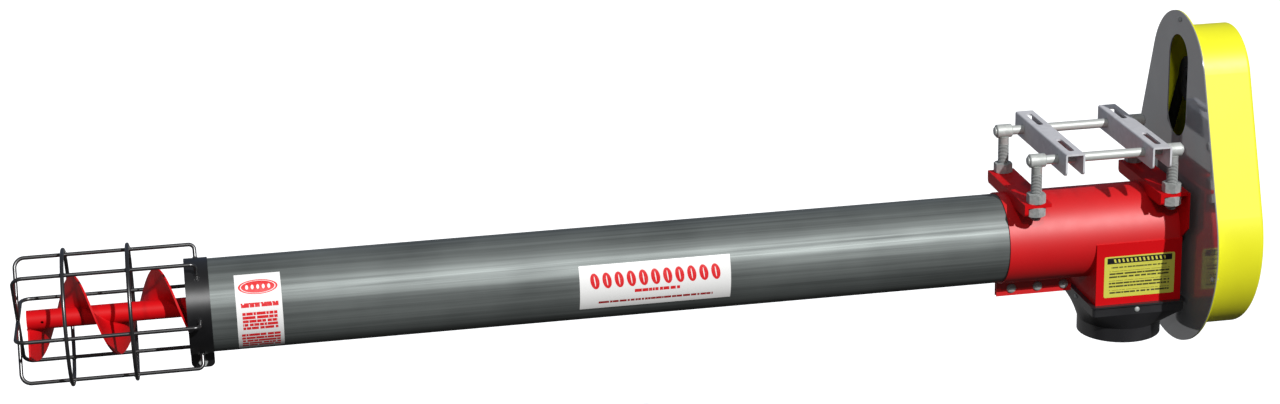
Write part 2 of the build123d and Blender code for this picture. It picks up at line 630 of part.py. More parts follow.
skirt_out_y = skirt_in_y / 2 + SKIRT_WALL
with BuildPart() as spout_screws:
    screw_planes = [
        facing_y(-skirt_out_y, spout_screw_z),
        Plane(origin=(0, skirt_out_y, spout_screw_z), x_dir=(1, 0, 0), z_dir=(0, 1, 0)),
        Plane(origin=(skirt_in_x0 - SKIRT_WALL, 0, spout_screw_z), x_dir=(0, 1, 0), z_dir=(-1, 0, 0)),
    ]
    with BuildSketch(*screw_planes):
        Circle(SPOUT_SCREW_HEAD / 2)
    extrude(amount=SPOUT_SCREW_HEAD_HEIGHT, taper=SPOUT_SCREW_HEAD_TAPER)
    with BuildSketch(*screw_planes):
        Circle(SPOUT_SCREW_DIAMETER / 2)
    extrude(amount=-(SKIRT_WALL + SPOUT_CLEARANCE + BOX_SHEET + SPOUT_SCREW_STICKOUT))
save(spout_screws, "spout_screws")


# ---------------------------------------------------------------- saddle brackets and motor base
def saddle_bracket(label, x):
    """Angle with its leg cut to sit on the head sleeve, and a hole for a stud at each end."""
    with BuildPart() as bracket:
        with BuildSketch(facing_y(-BRACKET_LENGTH / 2)):
            with Locations((x - BRACKET_WIDTH / 2, BRACKET_TOP_Z)):
                Rectangle(BRACKET_WIDTH, BRACKET_THICKNESS, align=(Align.MIN, Align.MAX))
                Rectangle(BRACKET_THICKNESS, BRACKET_LEG, align=(Align.MIN, Align.MAX))
        extrude(amount=-BRACKET_LENGTH)
        leg_corners = bracket.edges().filter_by(Axis.X).group_by(Axis.Z)[0]
        fillet(leg_corners, BRACKET_THICKNESS)
        with BuildSketch(across(x - BRACKET_WIDTH)):
            Circle(SLEEVE_R)
        extrude(amount=2 * BRACKET_WIDTH, mode=Mode.SUBTRACT)
        with BuildSketch(Plane.XY.offset(BRACKET_TOP_Z)):
            with Locations(*[(x, y) for y in STUD_YS]):
                Circle(STUD_DIAMETER / 2 + STUD_HOLE_CLEARANCE)
        extrude(amount=-BRACKET_THICKNESS, mode=Mode.SUBTRACT)
    save(bracket, label)


saddle_bracket("bracket_intake_side", STUD_XS[0])
saddle_bracket("bracket_drive_side", STUD_XS[1])

stud_places = [(x, y) for x in STUD_XS for y in STUD_YS]
stud_nut_bore = STUD_DIAMETER / 2 + THREAD_CLEARANCE
lower_nut_z = BRACKET_TOP_Z - BRACKET_THICKNESS - NUT_HEIGHT
hex_nuts("upper_nuts", stud_places, Plane.XY.offset(BRACKET_TOP_Z), NUT_FLATS, stud_nut_bore, NUT_HEIGHT)
hex_nuts("lower_nuts", stud_places, Plane.XY.offset(lower_nut_z), NUT_FLATS, stud_nut_bore, NUT_HEIGHT)

stud_tip_z = lower_nut_z - STUD_TIP_BELOW_NUT


def eye_bolt(label, x, y):
    """Threaded stud with a cross barrel on top that holds a slide rod."""
    with BuildPart() as bolt:
        with BuildSketch(Plane.XY.offset(stud_tip_z)):
            with Locations((x, y)):
                Circle(STUD_DIAMETER / 2)
        extrude(amount=ROD_Z - stud_tip_z)
        chamfer(bolt.edges().filter_by(GeomType.CIRCLE).group_by(Axis.Z)[0], STUD_CHAMFER)
        with BuildSketch(Plane(origin=(x, y, ROD_Z), x_dir=(0, 1, 0), z_dir=(1, 0, 0))):
            Circle(BARREL_OD / 2)
        extrude(amount=BARREL_LENGTH / 2, both=True)
        with BuildSketch(Plane(origin=(x, y, ROD_Z), x_dir=(0, 1, 0), z_dir=(1, 0, 0))):
            Circle(SLIDE_ROD_DIAMETER / 2 + ROD_PRESS_CLEARANCE)
        extrude(amount=BARREL_LENGTH, both=True, mode=Mode.SUBTRACT)
    save(bolt, label)


eye_bolt("eye_bolt_intake_front", STUD_XS[0], STUD_YS[0])
eye_bolt("eye_bolt_intake_back", STUD_XS[0], STUD_YS[1])
eye_bolt("eye_bolt_drive_front", STUD_XS[1], STUD_YS[0])
eye_bolt("eye_bolt_drive_back", STUD_XS[1], STUD_YS[1])


def slide_rod(label, y):
    """Round rod through two barrels, a little longer than both."""
    x0 = STUD_XS[0] - BARREL_LENGTH / 2 - SLIDE_ROD_STICKOUT
    with BuildPart() as rod:
        with BuildSketch(Plane(origin=(x0, y, ROD_Z), x_dir=(0, 1, 0), z_dir=(1, 0, 0))):
            Circle(SLIDE_ROD_DIAMETER / 2)
        extrude(amount=STUD_SPACING_X + BARREL_LENGTH + 2 * SLIDE_ROD_STICKOUT)
        chamfer(rod.edges().filter_by(GeomType.CIRCLE), SLIDE_ROD_CHAMFER)
    save(rod, label)


slide_rod("slide_rod_front", STUD_YS[0])
slide_rod("slide_rod_back", STUD_YS[1])


def motor_rail(label, x):
    """Channel with its web up: slots in the web, and holes for the slide rods in both flanges."""
    with BuildPart() as rail:
        with BuildSketch(facing_y(-RAIL_LENGTH / 2, RAIL_TOP_Z)):
            with Locations((x, 0)):
                Rectangle(RAIL_WIDTH, RAIL_DEPTH, align=(Align.CENTER, Align.MAX))
            with Locations((x, -RAIL_THICKNESS)):
                Rectangle(
                    RAIL_WIDTH - 2 * RAIL_THICKNESS,
                    RAIL_DEPTH,
                    align=(Align.CENTER, Align.MAX),
                    mode=Mode.SUBTRACT,
                )
        extrude(amount=-RAIL_LENGTH)
        long_edges = rail.edges().filter_by(Axis.Y)
        fillet(long_edges.group_by(Axis.Z)[-1], RAIL_THICKNESS)
        fillet(rail.edges().filter_by(Axis.X).group_by(Axis.Z)[0], RAIL_END_CORNER)
        with BuildSketch(Plane.XY.offset(RAIL_TOP_Z)):
            with Locations(*[(x, side * SLOT_SPACING / 2) for side in (-1, 1)]):
                SlotOverall(SLOT_LENGTH, SLOT_WIDTH, rotation=90)
        extrude(amount=-RAIL_THICKNESS, mode=Mode.SUBTRACT)
        with BuildSketch(across(x - RAIL_WIDTH, ROD_Z)):
            with Locations(*[(y, 0) for y in STUD_YS]):
                Circle(SLIDE_ROD_DIAMETER / 2 + RAIL_SLIDE_CLEARANCE)
        extrude(amount=2 * RAIL_WIDTH, mode=Mode.SUBTRACT)
    save(rail, label)


motor_rail("motor_rail_intake_side", RAIL_XS[0])
motor_rail("motor_rail_drive_side", RAIL_XS[1])

# ---------------------------------------------------------------- bearing
ball_circle = (SHAFT_DIAMETER + BEARING_OD) / 4
groove = BALL_DIAMETER / 2 + BALL_CLEARANCE
bearing_mid_x = END_PLATE_X1 + BEARING_WIDTH / 2


def bearing_ring(label, inner, outer):
    """One race: a plain ring with a round groove for the balls."""
    with BuildPart() as ring:
        with BuildSketch(radial(90)):
            with Locations((bearing_mid_x, inner)):
                Rectangle(BEARING_WIDTH - 2 * RING_RECESS, outer - inner, align=(Align.CENTER, Align.MIN))
            with Locations((bearing_mid_x, ball_circle)):
                Circle(groove, mode=Mode.SUBTRACT)
        revolve(axis=Axis((0, 0, AXIS_Z), (1, 0, 0)))
    save(ring, label)


shaft_bore = SHAFT_DIAMETER / 2 + SHAFT_FIT_CLEARANCE
bearing_ring("bearing_outer_ring", BEARING_OD / 2 - RING_THICKNESS, BEARING_OD / 2)
bearing_ring("bearing_inner_ring", shaft_bore, SHAFT_DIAMETER / 2 + RING_THICKNESS)

with BuildPart() as bearing_balls:
    with Locations(across(bearing_mid_x)):
        with PolarLocations(ball_circle, BALL_COUNT):
            Sphere(BALL_DIAMETER / 2)
save(bearing_balls, "bearing_balls")

with BuildPart() as bearing_housing:
    with BuildSketch(across(END_PLATE_X1)):
        Circle(HOUSING_OD / 2)
        Circle(BEARING_OD / 2 + SHAFT_FIT_CLEARANCE, mode=Mode.SUBTRACT)
        with PolarLocations(BEARING_BOLT_CIRCLE / 2, BEARING_BOLTS, start_angle=45):
            Circle(BEARING_BOLT_DIAMETER / 2 + BOLT_HOLE_CLEARANCE, mode=Mode.SUBTRACT)
    extrude(amount=BEARING_WIDTH)
save(bearing_housing, "bearing_housing")

with BuildPart() as bearing_bolts:
    with BuildSketch(across(END_PLATE_X0)):
        with PolarLocations(BEARING_BOLT_CIRCLE / 2, BEARING_BOLTS, start_angle=45):
            RegularPolygon(M8_FLATS / 2, 6, major_radius=False)
    extrude(amount=-M8_HEAD_HEIGHT)
    with BuildSketch(across(END_PLATE_X0)):
        with PolarLocations(BEARING_BOLT_CIRCLE / 2, BEARING_BOLTS, start_angle=45):
            Circle(BEARING_BOLT_DIAMETER / 2)
    extrude(amount=GUARD_X1 - END_PLATE_X0 + BEARING_BOLT_STICKOUT)
save(bearing_bolts, "bearing_bolts")

bolt_reach = BEARING_BOLT_CIRCLE / 2 * sqrt(0.5)
bearing_bolt_places = [(a * bolt_reach, b * bolt_reach) for a in (-1, 1) for b in (-1, 1)]
hex_nuts(
    "bearing_nuts",
    bearing_bolt_places,
    across(GUARD_X1),
    M8_FLATS,
    BEARING_BOLT_DIAMETER / 2 + THREAD_CLEARANCE,
    M8_NUT_HEIGHT,
)

lock_collar_x1 = SHEAVE_X0 - LOCK_COLLAR_FROM_SHEAVE
with BuildPart() as lock_collar:
    with BuildSketch(across(lock_collar_x1 - LOCK_COLLAR_LENGTH)):
        Circle(LOCK_COLLAR_OD / 2)
        Circle(shaft_bore, mode=Mode.SUBTRACT)
    extrude(amount=LOCK_COLLAR_LENGTH)
    with BuildSketch(Plane(origin=(lock_collar_x1 - LOCK_COLLAR_LENGTH / 2, 0, AXIS_Z))):
        Circle(LOCK_SCREW_DIAMETER / 2)
    extrude(amount=LOCK_COLLAR_OD, mode=Mode.SUBTRACT)
save(lock_collar, "lock_collar")

with BuildPart() as lock_screw:
    place = (lock_collar_x1 - LOCK_COLLAR_LENGTH / 2, 0, AXIS_Z + SHAFT_DIAMETER / 2)
    with BuildSketch(Plane(origin=place)):
        Circle(LOCK_SCREW_DIAMETER / 2 - THREAD_CLEARANCE)
        RegularPolygon(LOCK_SCREW_SOCKET, 6, mode=Mode.SUBTRACT)
    extrude(amount=(LOCK_COLLAR_OD - SHAFT_DIAMETER) / 2)
save(lock_screw, "lock_collar_screw")

# ---------------------------------------------------------------- sheaves and belt
half_belt = BELT_TOP_WIDTH / 2
belt_narrowing = BELT_HEIGHT * tan(radians(BELT_SIDE_ANGLE))


def grooved_sheave(label, axis_z, outer, hub_outer, bore, key, web_holes):
    """Cast V-belt sheave: rim with one groove, web, hub to the far side, keyway and screw hole."""
    groove_depth = BELT_HEIGHT - BELT_PROUD + 2 * BELT_CLEARANCE
    top_half = half_belt - BELT_PROUD * tan(radians(BELT_SIDE_ANGLE)) + BELT_CLEARANCE
    bottom_half = top_half - groove_depth * tan(radians(BELT_SIDE_ANGLE))
    rim_inner = outer - groove_depth - SHEAVE_RIM
    with BuildPart() as sheave:
        with BuildSketch(Plane(origin=(BELT_X, 0, axis_z), x_dir=(1, 0, 0), z_dir=(0, -1, 0))):
            with BuildLine():
                Polyline(
                    (-SHEAVE_FACE / 2, rim_inner),
                    (-SHEAVE_FACE / 2, outer),
                    (-top_half, outer),
                    (-bottom_half, outer - groove_depth),
                    (bottom_half, outer - groove_depth),
                    (top_half, outer),
                    (SHEAVE_FACE / 2, outer),
                    (SHEAVE_FACE / 2, rim_inner),
                    close=True,
                )
            make_face()
            with Locations((0, bore)):
                Rectangle(SHEAVE_WEB, rim_inner - bore + SHEAVE_RIM / 2, align=(Align.CENTER, Align.MIN))
            with Locations((-SHEAVE_FACE / 2, bore)):
                Rectangle(SHEAVE_HUB_LENGTH, hub_outer - bore, align=(Align.MIN, Align.MIN))
        revolve(axis=Axis((0, 0, axis_z), (1, 0, 0)))
        with BuildSketch(across(SHEAVE_X0, axis_z)):
            with Locations((0, bore)):
                Rectangle(key + 2 * KEY_CLEARANCE, key)
        extrude(amount=SHEAVE_HUB_LENGTH, mode=Mode.SUBTRACT)
        with BuildSketch(Plane(origin=(SHEAVE_X1 - SET_SCREW_FROM_HUB_END, 0, axis_z))):
            Circle(SET_SCREW_DIAMETER / 2)
        extrude(amount=hub_outer, mode=Mode.SUBTRACT)
        if web_holes:
            with BuildSketch(across(SHEAVE_X0, axis_z)):
                with PolarLocations((hub_outer + rim_inner) / 2, web_holes, start_angle=90):
                    Circle((rim_inner - hub_outer) / 3)
            extrude(amount=SHEAVE_FACE, mode=Mode.SUBTRACT)
    save(sheave, label)


grooved_sheave(
    "driven_sheave",
    AXIS_Z,
    DRIVEN_SHEAVE_OD / 2,
    DRIVEN_HUB_OD / 2,
    shaft_bore,
    DRIVEN_KEY,
    SHEAVE_WEB_HOLES,
)
grooved_sheave(
    "motor_sheave",
    MOTOR_Z,
    MOTOR_SHEAVE_OD / 2,
    MOTOR_HUB_OD / 2,
    MOTOR_BORE_RADIUS,
    MOTOR_KEY,
    0,
)

with BuildPart() as sheave_key:
    with BuildSketch(across(SHEAVE_X0)):
        with Locations((0, SHAFT_DIAMETER / 2)):
            Rectangle(DRIVEN_KEY, DRIVEN_KEY - 2 * KEY_CLEARANCE)
    extrude(amount=SHEAVE_HUB_LENGTH - KEY_SHORT_OF_HUB)
save(sheave_key, "sheave_key")


def set_screw(label, axis_z, low, high):
    """Socket set screw in a sheave's hub."""
    with BuildPart() as grub:
        with BuildSketch(Plane.XY.offset(axis_z + low)):
            with Locations((SHEAVE_X1 - SET_SCREW_FROM_HUB_END, 0)):
                Circle(SET_SCREW_DIAMETER / 2 - THREAD_CLEARANCE)
        extrude(amount=high - low)
        with BuildSketch(Plane.XY.offset(axis_z + high)):
            with Locations((SHEAVE_X1 - SET_SCREW_FROM_HUB_END, 0)):
                RegularPolygon(SET_SCREW_SOCKET, 6)
        extrude(amount=-SET_SCREW_SOCKET_DEPTH, mode=Mode.SUBTRACT)
    save(grub, label)


driven_key_top = SHAFT_DIAMETER / 2 + DRIVEN_KEY / 2
motor_key_top = MOTOR_BORE_RADIUS + MOTOR_KEY / 2
set_screw("driven_set_screw", AXIS_Z, driven_key_top, DRIVEN_HUB_OD / 2 - SET_SCREW_BELOW_HUB)
set_screw("motor_set_screw", MOTOR_Z, motor_key_top, MOTOR_HUB_OD / 2 - SET_SCREW_BELOW_HUB)

belt_low_outer = DRIVEN_SHEAVE_OD / 2 + BELT_PROUD
belt_high_outer = MOTOR_SHEAVE_OD / 2 + BELT_PROUD
belt_lean = degrees(asin((belt_low_outer - belt_high_outer) / CENTRE_DISTANCE))
with BuildPart() as v_belt:
    with BuildLine(across(BELT_X)):
        high_arc = CenterArc((0, CENTRE_DISTANCE), belt_high_outer, belt_lean, 180 - 2 * belt_lean)
        low_arc = CenterArc((0, 0), belt_low_outer, 180 - belt_lean, 180 + 2 * belt_lean)
        Line(high_arc @ 1, low_arc @ 0)
        Line(low_arc @ 1, high_arc @ 0)
    belt_start = high_arc @ 0
    outward = Vector(0, cos(radians(belt_lean)), sin(radians(belt_lean)))
    with BuildSketch(Plane(origin=belt_start, x_dir=(1, 0, 0), z_dir=Vector(1, 0, 0).cross(outward))):
        with BuildLine():
            Polyline(
                (-half_belt, 0),
                (half_belt, 0),
                (half_belt - belt_narrowing, -BELT_HEIGHT),
                (-half_belt + belt_narrowing, -BELT_HEIGHT),
                close=True,
            )
        make_face()
    sweep()
save(v_belt, "v_belt")

# ---------------------------------------------------------------- belt guard
with BuildPart() as guard_plate:
    with BuildSketch(across(GUARD_X0)):
        add(teardrop(GUARD_LOW_RADIUS, GUARD_HIGH_RADIUS))
        Circle(PLATE_HOLE_RADIUS, mode=Mode.SUBTRACT)
        with PolarLocations(BEARING_BOLT_CIRCLE / 2, BEARING_BOLTS, start_angle=45):
            Circle(BEARING_BOLT_DIAMETER / 2 + BOLT_HOLE_CLEARANCE, mode=Mode.SUBTRACT)
        with Locations((0, SLOT_OPENING_CENTRE)):
            SlotOverall(SLOT_OPENING_HEIGHT, SLOT_OPENING_WIDTH, rotation=90, mode=Mode.SUBTRACT)
        with Locations(*rim_screw_places()):
            Circle(GUARD_SCREW_DIAMETER / 2 + BOLT_HOLE_CLEARANCE, mode=Mode.SUBTRACT)
    extrude(amount=GUARD_PLATE_THICKNESS)
save(guard_plate, "guard_plate")

cover_low = GUARD_LOW_RADIUS - GUARD_RIM
cover_high = GUARD_HIGH_RADIUS - GUARD_RIM
with BuildPart() as cover_hollow:
    with BuildSketch(across(GUARD_X1)):
        add(teardrop(cover_low - COVER_SHEET, cover_high - COVER_SHEET))
    extrude(amount=COVER_DEPTH - COVER_SHEET)
    fillet(cover_hollow.faces().sort_by(Axis.X)[-1].edges(), COVER_EDGE_FILLET - COVER_SHEET)

with BuildPart() as guard_cover:
    with BuildSketch(across(GUARD_X1)):
        add(teardrop(cover_low, cover_high))
    extrude(amount=COVER_DEPTH)
    fillet(guard_cover.faces().sort_by(Axis.X)[-1].edges(), COVER_EDGE_FILLET)
    with BuildSketch(across(GUARD_X1)):
        add(teardrop(GUARD_LOW_RADIUS, GUARD_HIGH_RADIUS))
        with Locations(*rim_screw_places()):
            Circle(GUARD_SCREW_DIAMETER / 2 + SCREW_HOLE_CLEARANCE, mode=Mode.SUBTRACT)
    extrude(amount=COVER_SHEET)
    add(cover_hollow.part, mode=Mode.SUBTRACT)
save(guard_cover, "guard_cover")

with BuildPart() as guard_screws:
    with BuildSketch(across(GUARD_X0)):
        with Locations(*rim_screw_places()):
            Circle(GUARD_SCREW_HEAD / 2)
    extrude(amount=-GUARD_SCREW_HEAD_HEIGHT, taper=GUARD_SCREW_HEAD_TAPER)
    with BuildSketch(across(GUARD_X0)):
        with Locations(*rim_screw_places()):
            Circle(GUARD_SCREW_DIAMETER / 2)
    extrude(amount=GUARD_PLATE_THICKNESS + COVER_SHEET + GUARD_SCREW_STICKOUT)
save(guard_screws, "guard_screws")
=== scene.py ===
"""Looks for the grain auger: finishes for every CAD node, threaded and chamfered hardware, welds,
labels, a driving belt copied from the CAD belt, and a plain studio."""
import math

import bmesh
import bpy
from mathutils import Matrix, Vector


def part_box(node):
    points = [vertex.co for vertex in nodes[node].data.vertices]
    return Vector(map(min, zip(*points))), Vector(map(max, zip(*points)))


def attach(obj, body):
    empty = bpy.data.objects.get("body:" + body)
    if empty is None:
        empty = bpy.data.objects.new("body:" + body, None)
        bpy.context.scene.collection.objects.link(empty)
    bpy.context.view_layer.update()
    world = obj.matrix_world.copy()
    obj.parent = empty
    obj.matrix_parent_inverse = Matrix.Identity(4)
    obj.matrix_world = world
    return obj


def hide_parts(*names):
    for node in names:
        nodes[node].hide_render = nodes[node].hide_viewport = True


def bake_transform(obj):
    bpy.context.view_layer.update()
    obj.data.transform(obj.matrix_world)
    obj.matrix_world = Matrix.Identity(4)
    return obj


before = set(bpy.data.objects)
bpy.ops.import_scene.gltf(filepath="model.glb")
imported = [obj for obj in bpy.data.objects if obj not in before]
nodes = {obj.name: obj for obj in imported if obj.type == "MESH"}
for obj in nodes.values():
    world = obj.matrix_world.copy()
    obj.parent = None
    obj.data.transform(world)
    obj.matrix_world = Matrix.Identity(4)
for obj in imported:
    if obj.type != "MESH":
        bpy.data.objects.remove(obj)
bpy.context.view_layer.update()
MM = 0.001
TURN = 2 * math.pi


# ---------------------------------------------------------------- places read from the frame
def middle(node):
    low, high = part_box(node)
    return (low + high) / 2


def span(node, axis):
    low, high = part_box(node)
    return low[axis], high[axis]


AXIS = middle("tube")  # a point on the screw's axis
AXIS_Z = AXIS.z
TUBE_R = (span("tube", 1)[1] - span("tube", 1)[0]) / 2
CORE_X0 = span("core_pipe", 0)[0]
CORE_R = span("core_pipe", 1)[1]
BOX_FRONT_Y = span("discharge_box", 1)[0]
ROD_Z = middle("slide_rod_front").z
EYE_BOLTS = (
    "eye_bolt_intake_front",
    "eye_bolt_intake_back",
    "eye_bolt_drive_front",
    "eye_bolt_drive_back",
)
STUDS = [Vector((middle(n).x, middle(n).y, 0)) for n in EYE_BOLTS]
STUD_CENTRE = sum(STUDS, Vector()) / 4


# ---------------------------------------------------------------- shader writing
class Wire:
    """An output socket whose arithmetic is written as Python expressions."""

    def __init__(self, bench, socket):
        self.bench, self.socket = bench, socket

    def maths(self, operation, *others):
        values = dict(enumerate((self, *others)))
        return self.bench.node("ShaderNodeMath", {"operation": operation}, values)

    def __add__(self, other):
        return self.maths("ADD", other)

    def __sub__(self, other):
        return self.maths("SUBTRACT", other)

    def __mul__(self, other):
        return self.maths("MULTIPLY", other)

    def __truediv__(self, other):
        return self.maths("DIVIDE", other)

    def __rsub__(self, other):
        return self.bench.node("ShaderNodeMath", {"operation": "SUBTRACT"}, {0: other, 1: self})

    def __gt__(self, other):
        return self.maths("GREATER_THAN", other)

    def __lt__(self, other):
        return self.maths("LESS_THAN", other)

    __radd__, __rmul__ = __add__, __mul__

    def fract(self):
        return self.maths("FRACT")

    def inside(self, low, high):
        return (self > low) * (self < high)


class Bench:
    """Node tree of one finish or of the world."""

    def __init__(self, tree):
        self.tree = tree
        tree.nodes.clear()

    def node(self, kind, settings=None, inputs=None, out=0):
        made = self.tree.nodes.new(kind)
        for key, value in (settings or {}).items():
            if key == "stops":
                ramp = made.color_ramp
                while len(ramp.elements) < len(value):
                    ramp.elements.new(0.5)
                for element, (place, colour) in zip(ramp.elements, value):
                    element.position = place
                    element.color = (*colour, 1) if len(colour) == 3 else colour
            else:
                setattr(made, key, value)
        for key, value in (inputs or {}).items():
            self.feed(made.inputs[key], value)
        return Wire(self, made.outputs[out])

    def feed(self, socket, value):
        if isinstance(value, Wire):
            self.tree.links.new(value.socket, socket)
        elif isinstance(value, tuple) and len(value) == 3 and socket.type == "RGBA":
            socket.default_value = (*value, 1)
        else:
            socket.default_value = value

    def place(self, stretch=(1, 1, 1), centre=(0, 0, 0)):
        spot = self.node("ShaderNodeTexCoord", out="Object")
        shift = {"Location": tuple(-c * s for c, s in zip(centre, stretch)), "Scale": stretch}
        return self.node("ShaderNodeMapping", None, {"Vector": spot, **shift})

    def axes(self):
        spot = self.node("ShaderNodeTexCoord", out="Object")
        parts = self.node("ShaderNodeSeparateXYZ", None, {0: spot}).socket.node
        return [Wire(self, parts.outputs[k]) for k in range(3)]

    def noise(self, scale, detail=3.0, roughness=0.5, stretch=(1, 1, 1)):
        settings = {"Vector": self.place(stretch), "Scale": scale}
        settings.update({"Detail": detail, "Roughness": roughness})
        return self.node("ShaderNodeTexNoise", None, settings)

    def mix(self, factor, first, second):
        inputs = {"Factor": factor, 6: first, 7: second}
        return self.node("ShaderNodeMix", {"data_type": "RGBA"}, inputs, out=2)

    def spread(self, wire, low, high, to_low=0.0, to_high=1.0):
        inputs = {0: wire, 1: low, 2: high, 3: to_low, 4: to_high}
        return self.node("ShaderNodeMapRange", None, inputs)

    def bump(self, height, strength, distance):
        inputs = {"Height": height, "Strength": strength, "Distance": distance}
        return self.node("ShaderNodeBump", None, inputs)


def finish(name, fill):
    """A material whose Principled shader takes the sockets that fill(bench) returns."""
    made = bpy.data.materials.new(name)
    made.use_nodes = True
    bench = Bench(made.node_tree)
    shader = made.node_tree.nodes.new("ShaderNodeBsdfPrincipled")
    end = made.node_tree.nodes.new("ShaderNodeOutputMaterial")
    made.node_tree.links.new(shader.outputs[0], end.inputs[0])
    for socket, value in fill(bench).items():
        bench.feed(shader.inputs[socket], value)
    return made


def enamel(colour, shade, gloss, ior=1.58, peel=0.05):
    """Sprayed paint: faint orange peel, slow colour drift and a thin dusty bloom."""

    def fill(b):
        drift = b.spread(b.noise(11, 2), 0.35, 0.7)
        dust = b.noise(55, 5, 0.62)
        skin = b.noise(520, 2, 0.4)
        return {
            "Base Color": b.mix(drift * 0.5 + b.spread(dust, 0.5, 0.75) * 0.12, colour, shade),
            "Roughness": b.spread(dust, 0.3, 0.75, gloss - 0.01, gloss + 0.02),
            "Normal": b.bump(skin, peel, 0.0006),
            "IOR": ior,
        }

    return fill


def rolled_steel(colour, shade, gloss, metallic, stretch=(2.2, 70, 70), bump=0.06):
    """Drawn or rolled metal with streaks along its length."""

    def fill(b):
        streak = b.noise(1.0, 6, 0.62, stretch)
        fine = b.noise(1.0, 2, 0.5, tuple(4.2 * s for s in stretch))
        cloud = b.noise(7, 3)
        return {
            "Base Color": b.mix(b.spread(streak * 0.7 + cloud * 0.3, 0.36, 0.66), colour, shade),
            "Metallic": metallic,
            "Roughness": b.spread(streak * 0.6 + fine * 0.4, 0.3, 0.7, gloss - 0.05, gloss + 0.07),
            "Normal": b.bump(streak * 0.6 + fine * 0.4, bump, 0.0007),
        }

    return fill


def zinc(colour, shade, gloss, metallic=0.25, grain=260.0):
    """Plated or galvanised hardware: small crystal patches and a slightly soft shine."""

    def fill(b):
        cells = b.node(
            "ShaderNodeTexVoronoi",
            {"feature": "F1"},
            {"Vector": b.place(), "Scale": grain, "Randomness": 1.0},
            out="Color",
        )
        patch = b.node("ShaderNodeSeparateColor", None, {0: cells})
        cloud = b.noise(40, 4)
        return {
            "Base Color": b.mix(b.spread(patch * 0.5 + cloud * 0.5, 0.25, 0.75), colour, shade),
            "Metallic": metallic,
            "Roughness": b.spread(cloud, 0.3, 0.7, gloss - 0.04, gloss + 0.08),
            "Normal": b.bump(cloud, 0.08, 0.0005),
        }

    return fill


def black_coat(colour, metallic, gloss, grain=700.0, bump=0.12, ior=1.5):
    """Black paint or moulded plastic with a fine even texture."""

    def fill(b):
        grit = b.noise(grain, 3, 0.55)
        cloud = b.noise(14, 3)
        pale = tuple(min(1.0, c * 1.6 + 0.01) for c in colour)
        return {
            "Base Color": b.mix(b.spread(cloud, 0.4, 0.75) * 0.4, colour, pale),
            "Metallic": metallic,
            "Roughness": b.spread(cloud, 0.3, 0.7, gloss - 0.04, gloss + 0.06),
            "Normal": b.bump(grit, bump, 0.0004),
            "IOR": ior,
        }

    return fill


def cast(colour, gloss=0.45):
    """Cast iron with its sand texture."""

    def fill(b):
        sand = b.noise(420, 5, 0.6)
        cloud = b.noise(24, 3)
        dark = tuple(c * 0.6 for c in colour)
        return {
            "Base Color": b.mix(b.spread(cloud, 0.35, 0.7), colour, dark),
            "Metallic": 0.7,
            "Roughness": b.spread(sand, 0.3, 0.7, gloss - 0.06, gloss + 0.1),
            "Normal": b.bump(sand, 0.3, 0.0007),
        }

    return fill


def mirror_sheet(b):
    """Dark polished sheet that half mirrors the head."""
    cloud = b.noise(6, 3)
    wipe = b.noise(1.0, 4, 0.6, (60, 14, 60))
    return {
        "Base Color": b.mix(b.spread(cloud, 0.35, 0.7), (0.50, 0.51, 0.52), (0.44, 0.445, 0.46)),
        "Metallic": 0.55,
        "Roughness": b.spread(wipe, 0.3, 0.75, 0.05, 0.10),
        "Normal": b.bump(wipe, 0.02, 0.0003),
    }


def belt_rubber(b):
    """Dusty rubber with a woven face."""
    weave = b.noise(900, 2)
    dust = b.noise(60, 4)
    return {
        "Base Color": b.mix(b.spread(dust, 0.45, 0.8) * 0.5, (0.006, 0.006, 0.0065), (0.03, 0.03, 0.03)),
        "Roughness": b.spread(dust, 0.3, 0.7, 0.55, 0.75),
        "Normal": b.bump(weave, 0.25, 0.0004),
    }


def thread_steel(b):
    """Plated thread with painted shade in its grooves: the colour darkens towards the thread roots."""
    x, y, z = b.axes()
    across_x = (x - STUD_CENTRE.x).maths("ABSOLUTE") - abs(STUDS[0].x - STUD_CENTRE.x)
    across_y = (y - STUD_CENTRE.y).maths("ABSOLUTE") - abs(STUDS[0].y - STUD_CENTRE.y)
    radius = (across_x * across_x + across_y * across_y).maths("SQRT")
    # painted shade: the colour darkens from the crest to the root of each thread groove
    painted_groove_shade = b.spread(radius, 8.3 * MM, 9.2 * MM, 1.0, 0.0)
    cloud = b.noise(60, 3)
    return {
        "Base Color": b.mix(painted_groove_shade, (0.52, 0.54, 0.53), (0.07, 0.072, 0.07)),
        "Metallic": 0.25,
        "Roughness": b.spread(cloud, 0.3, 0.7, 0.46, 0.56),
        "Normal": b.bump(cloud, 0.05, 0.0004),
    }


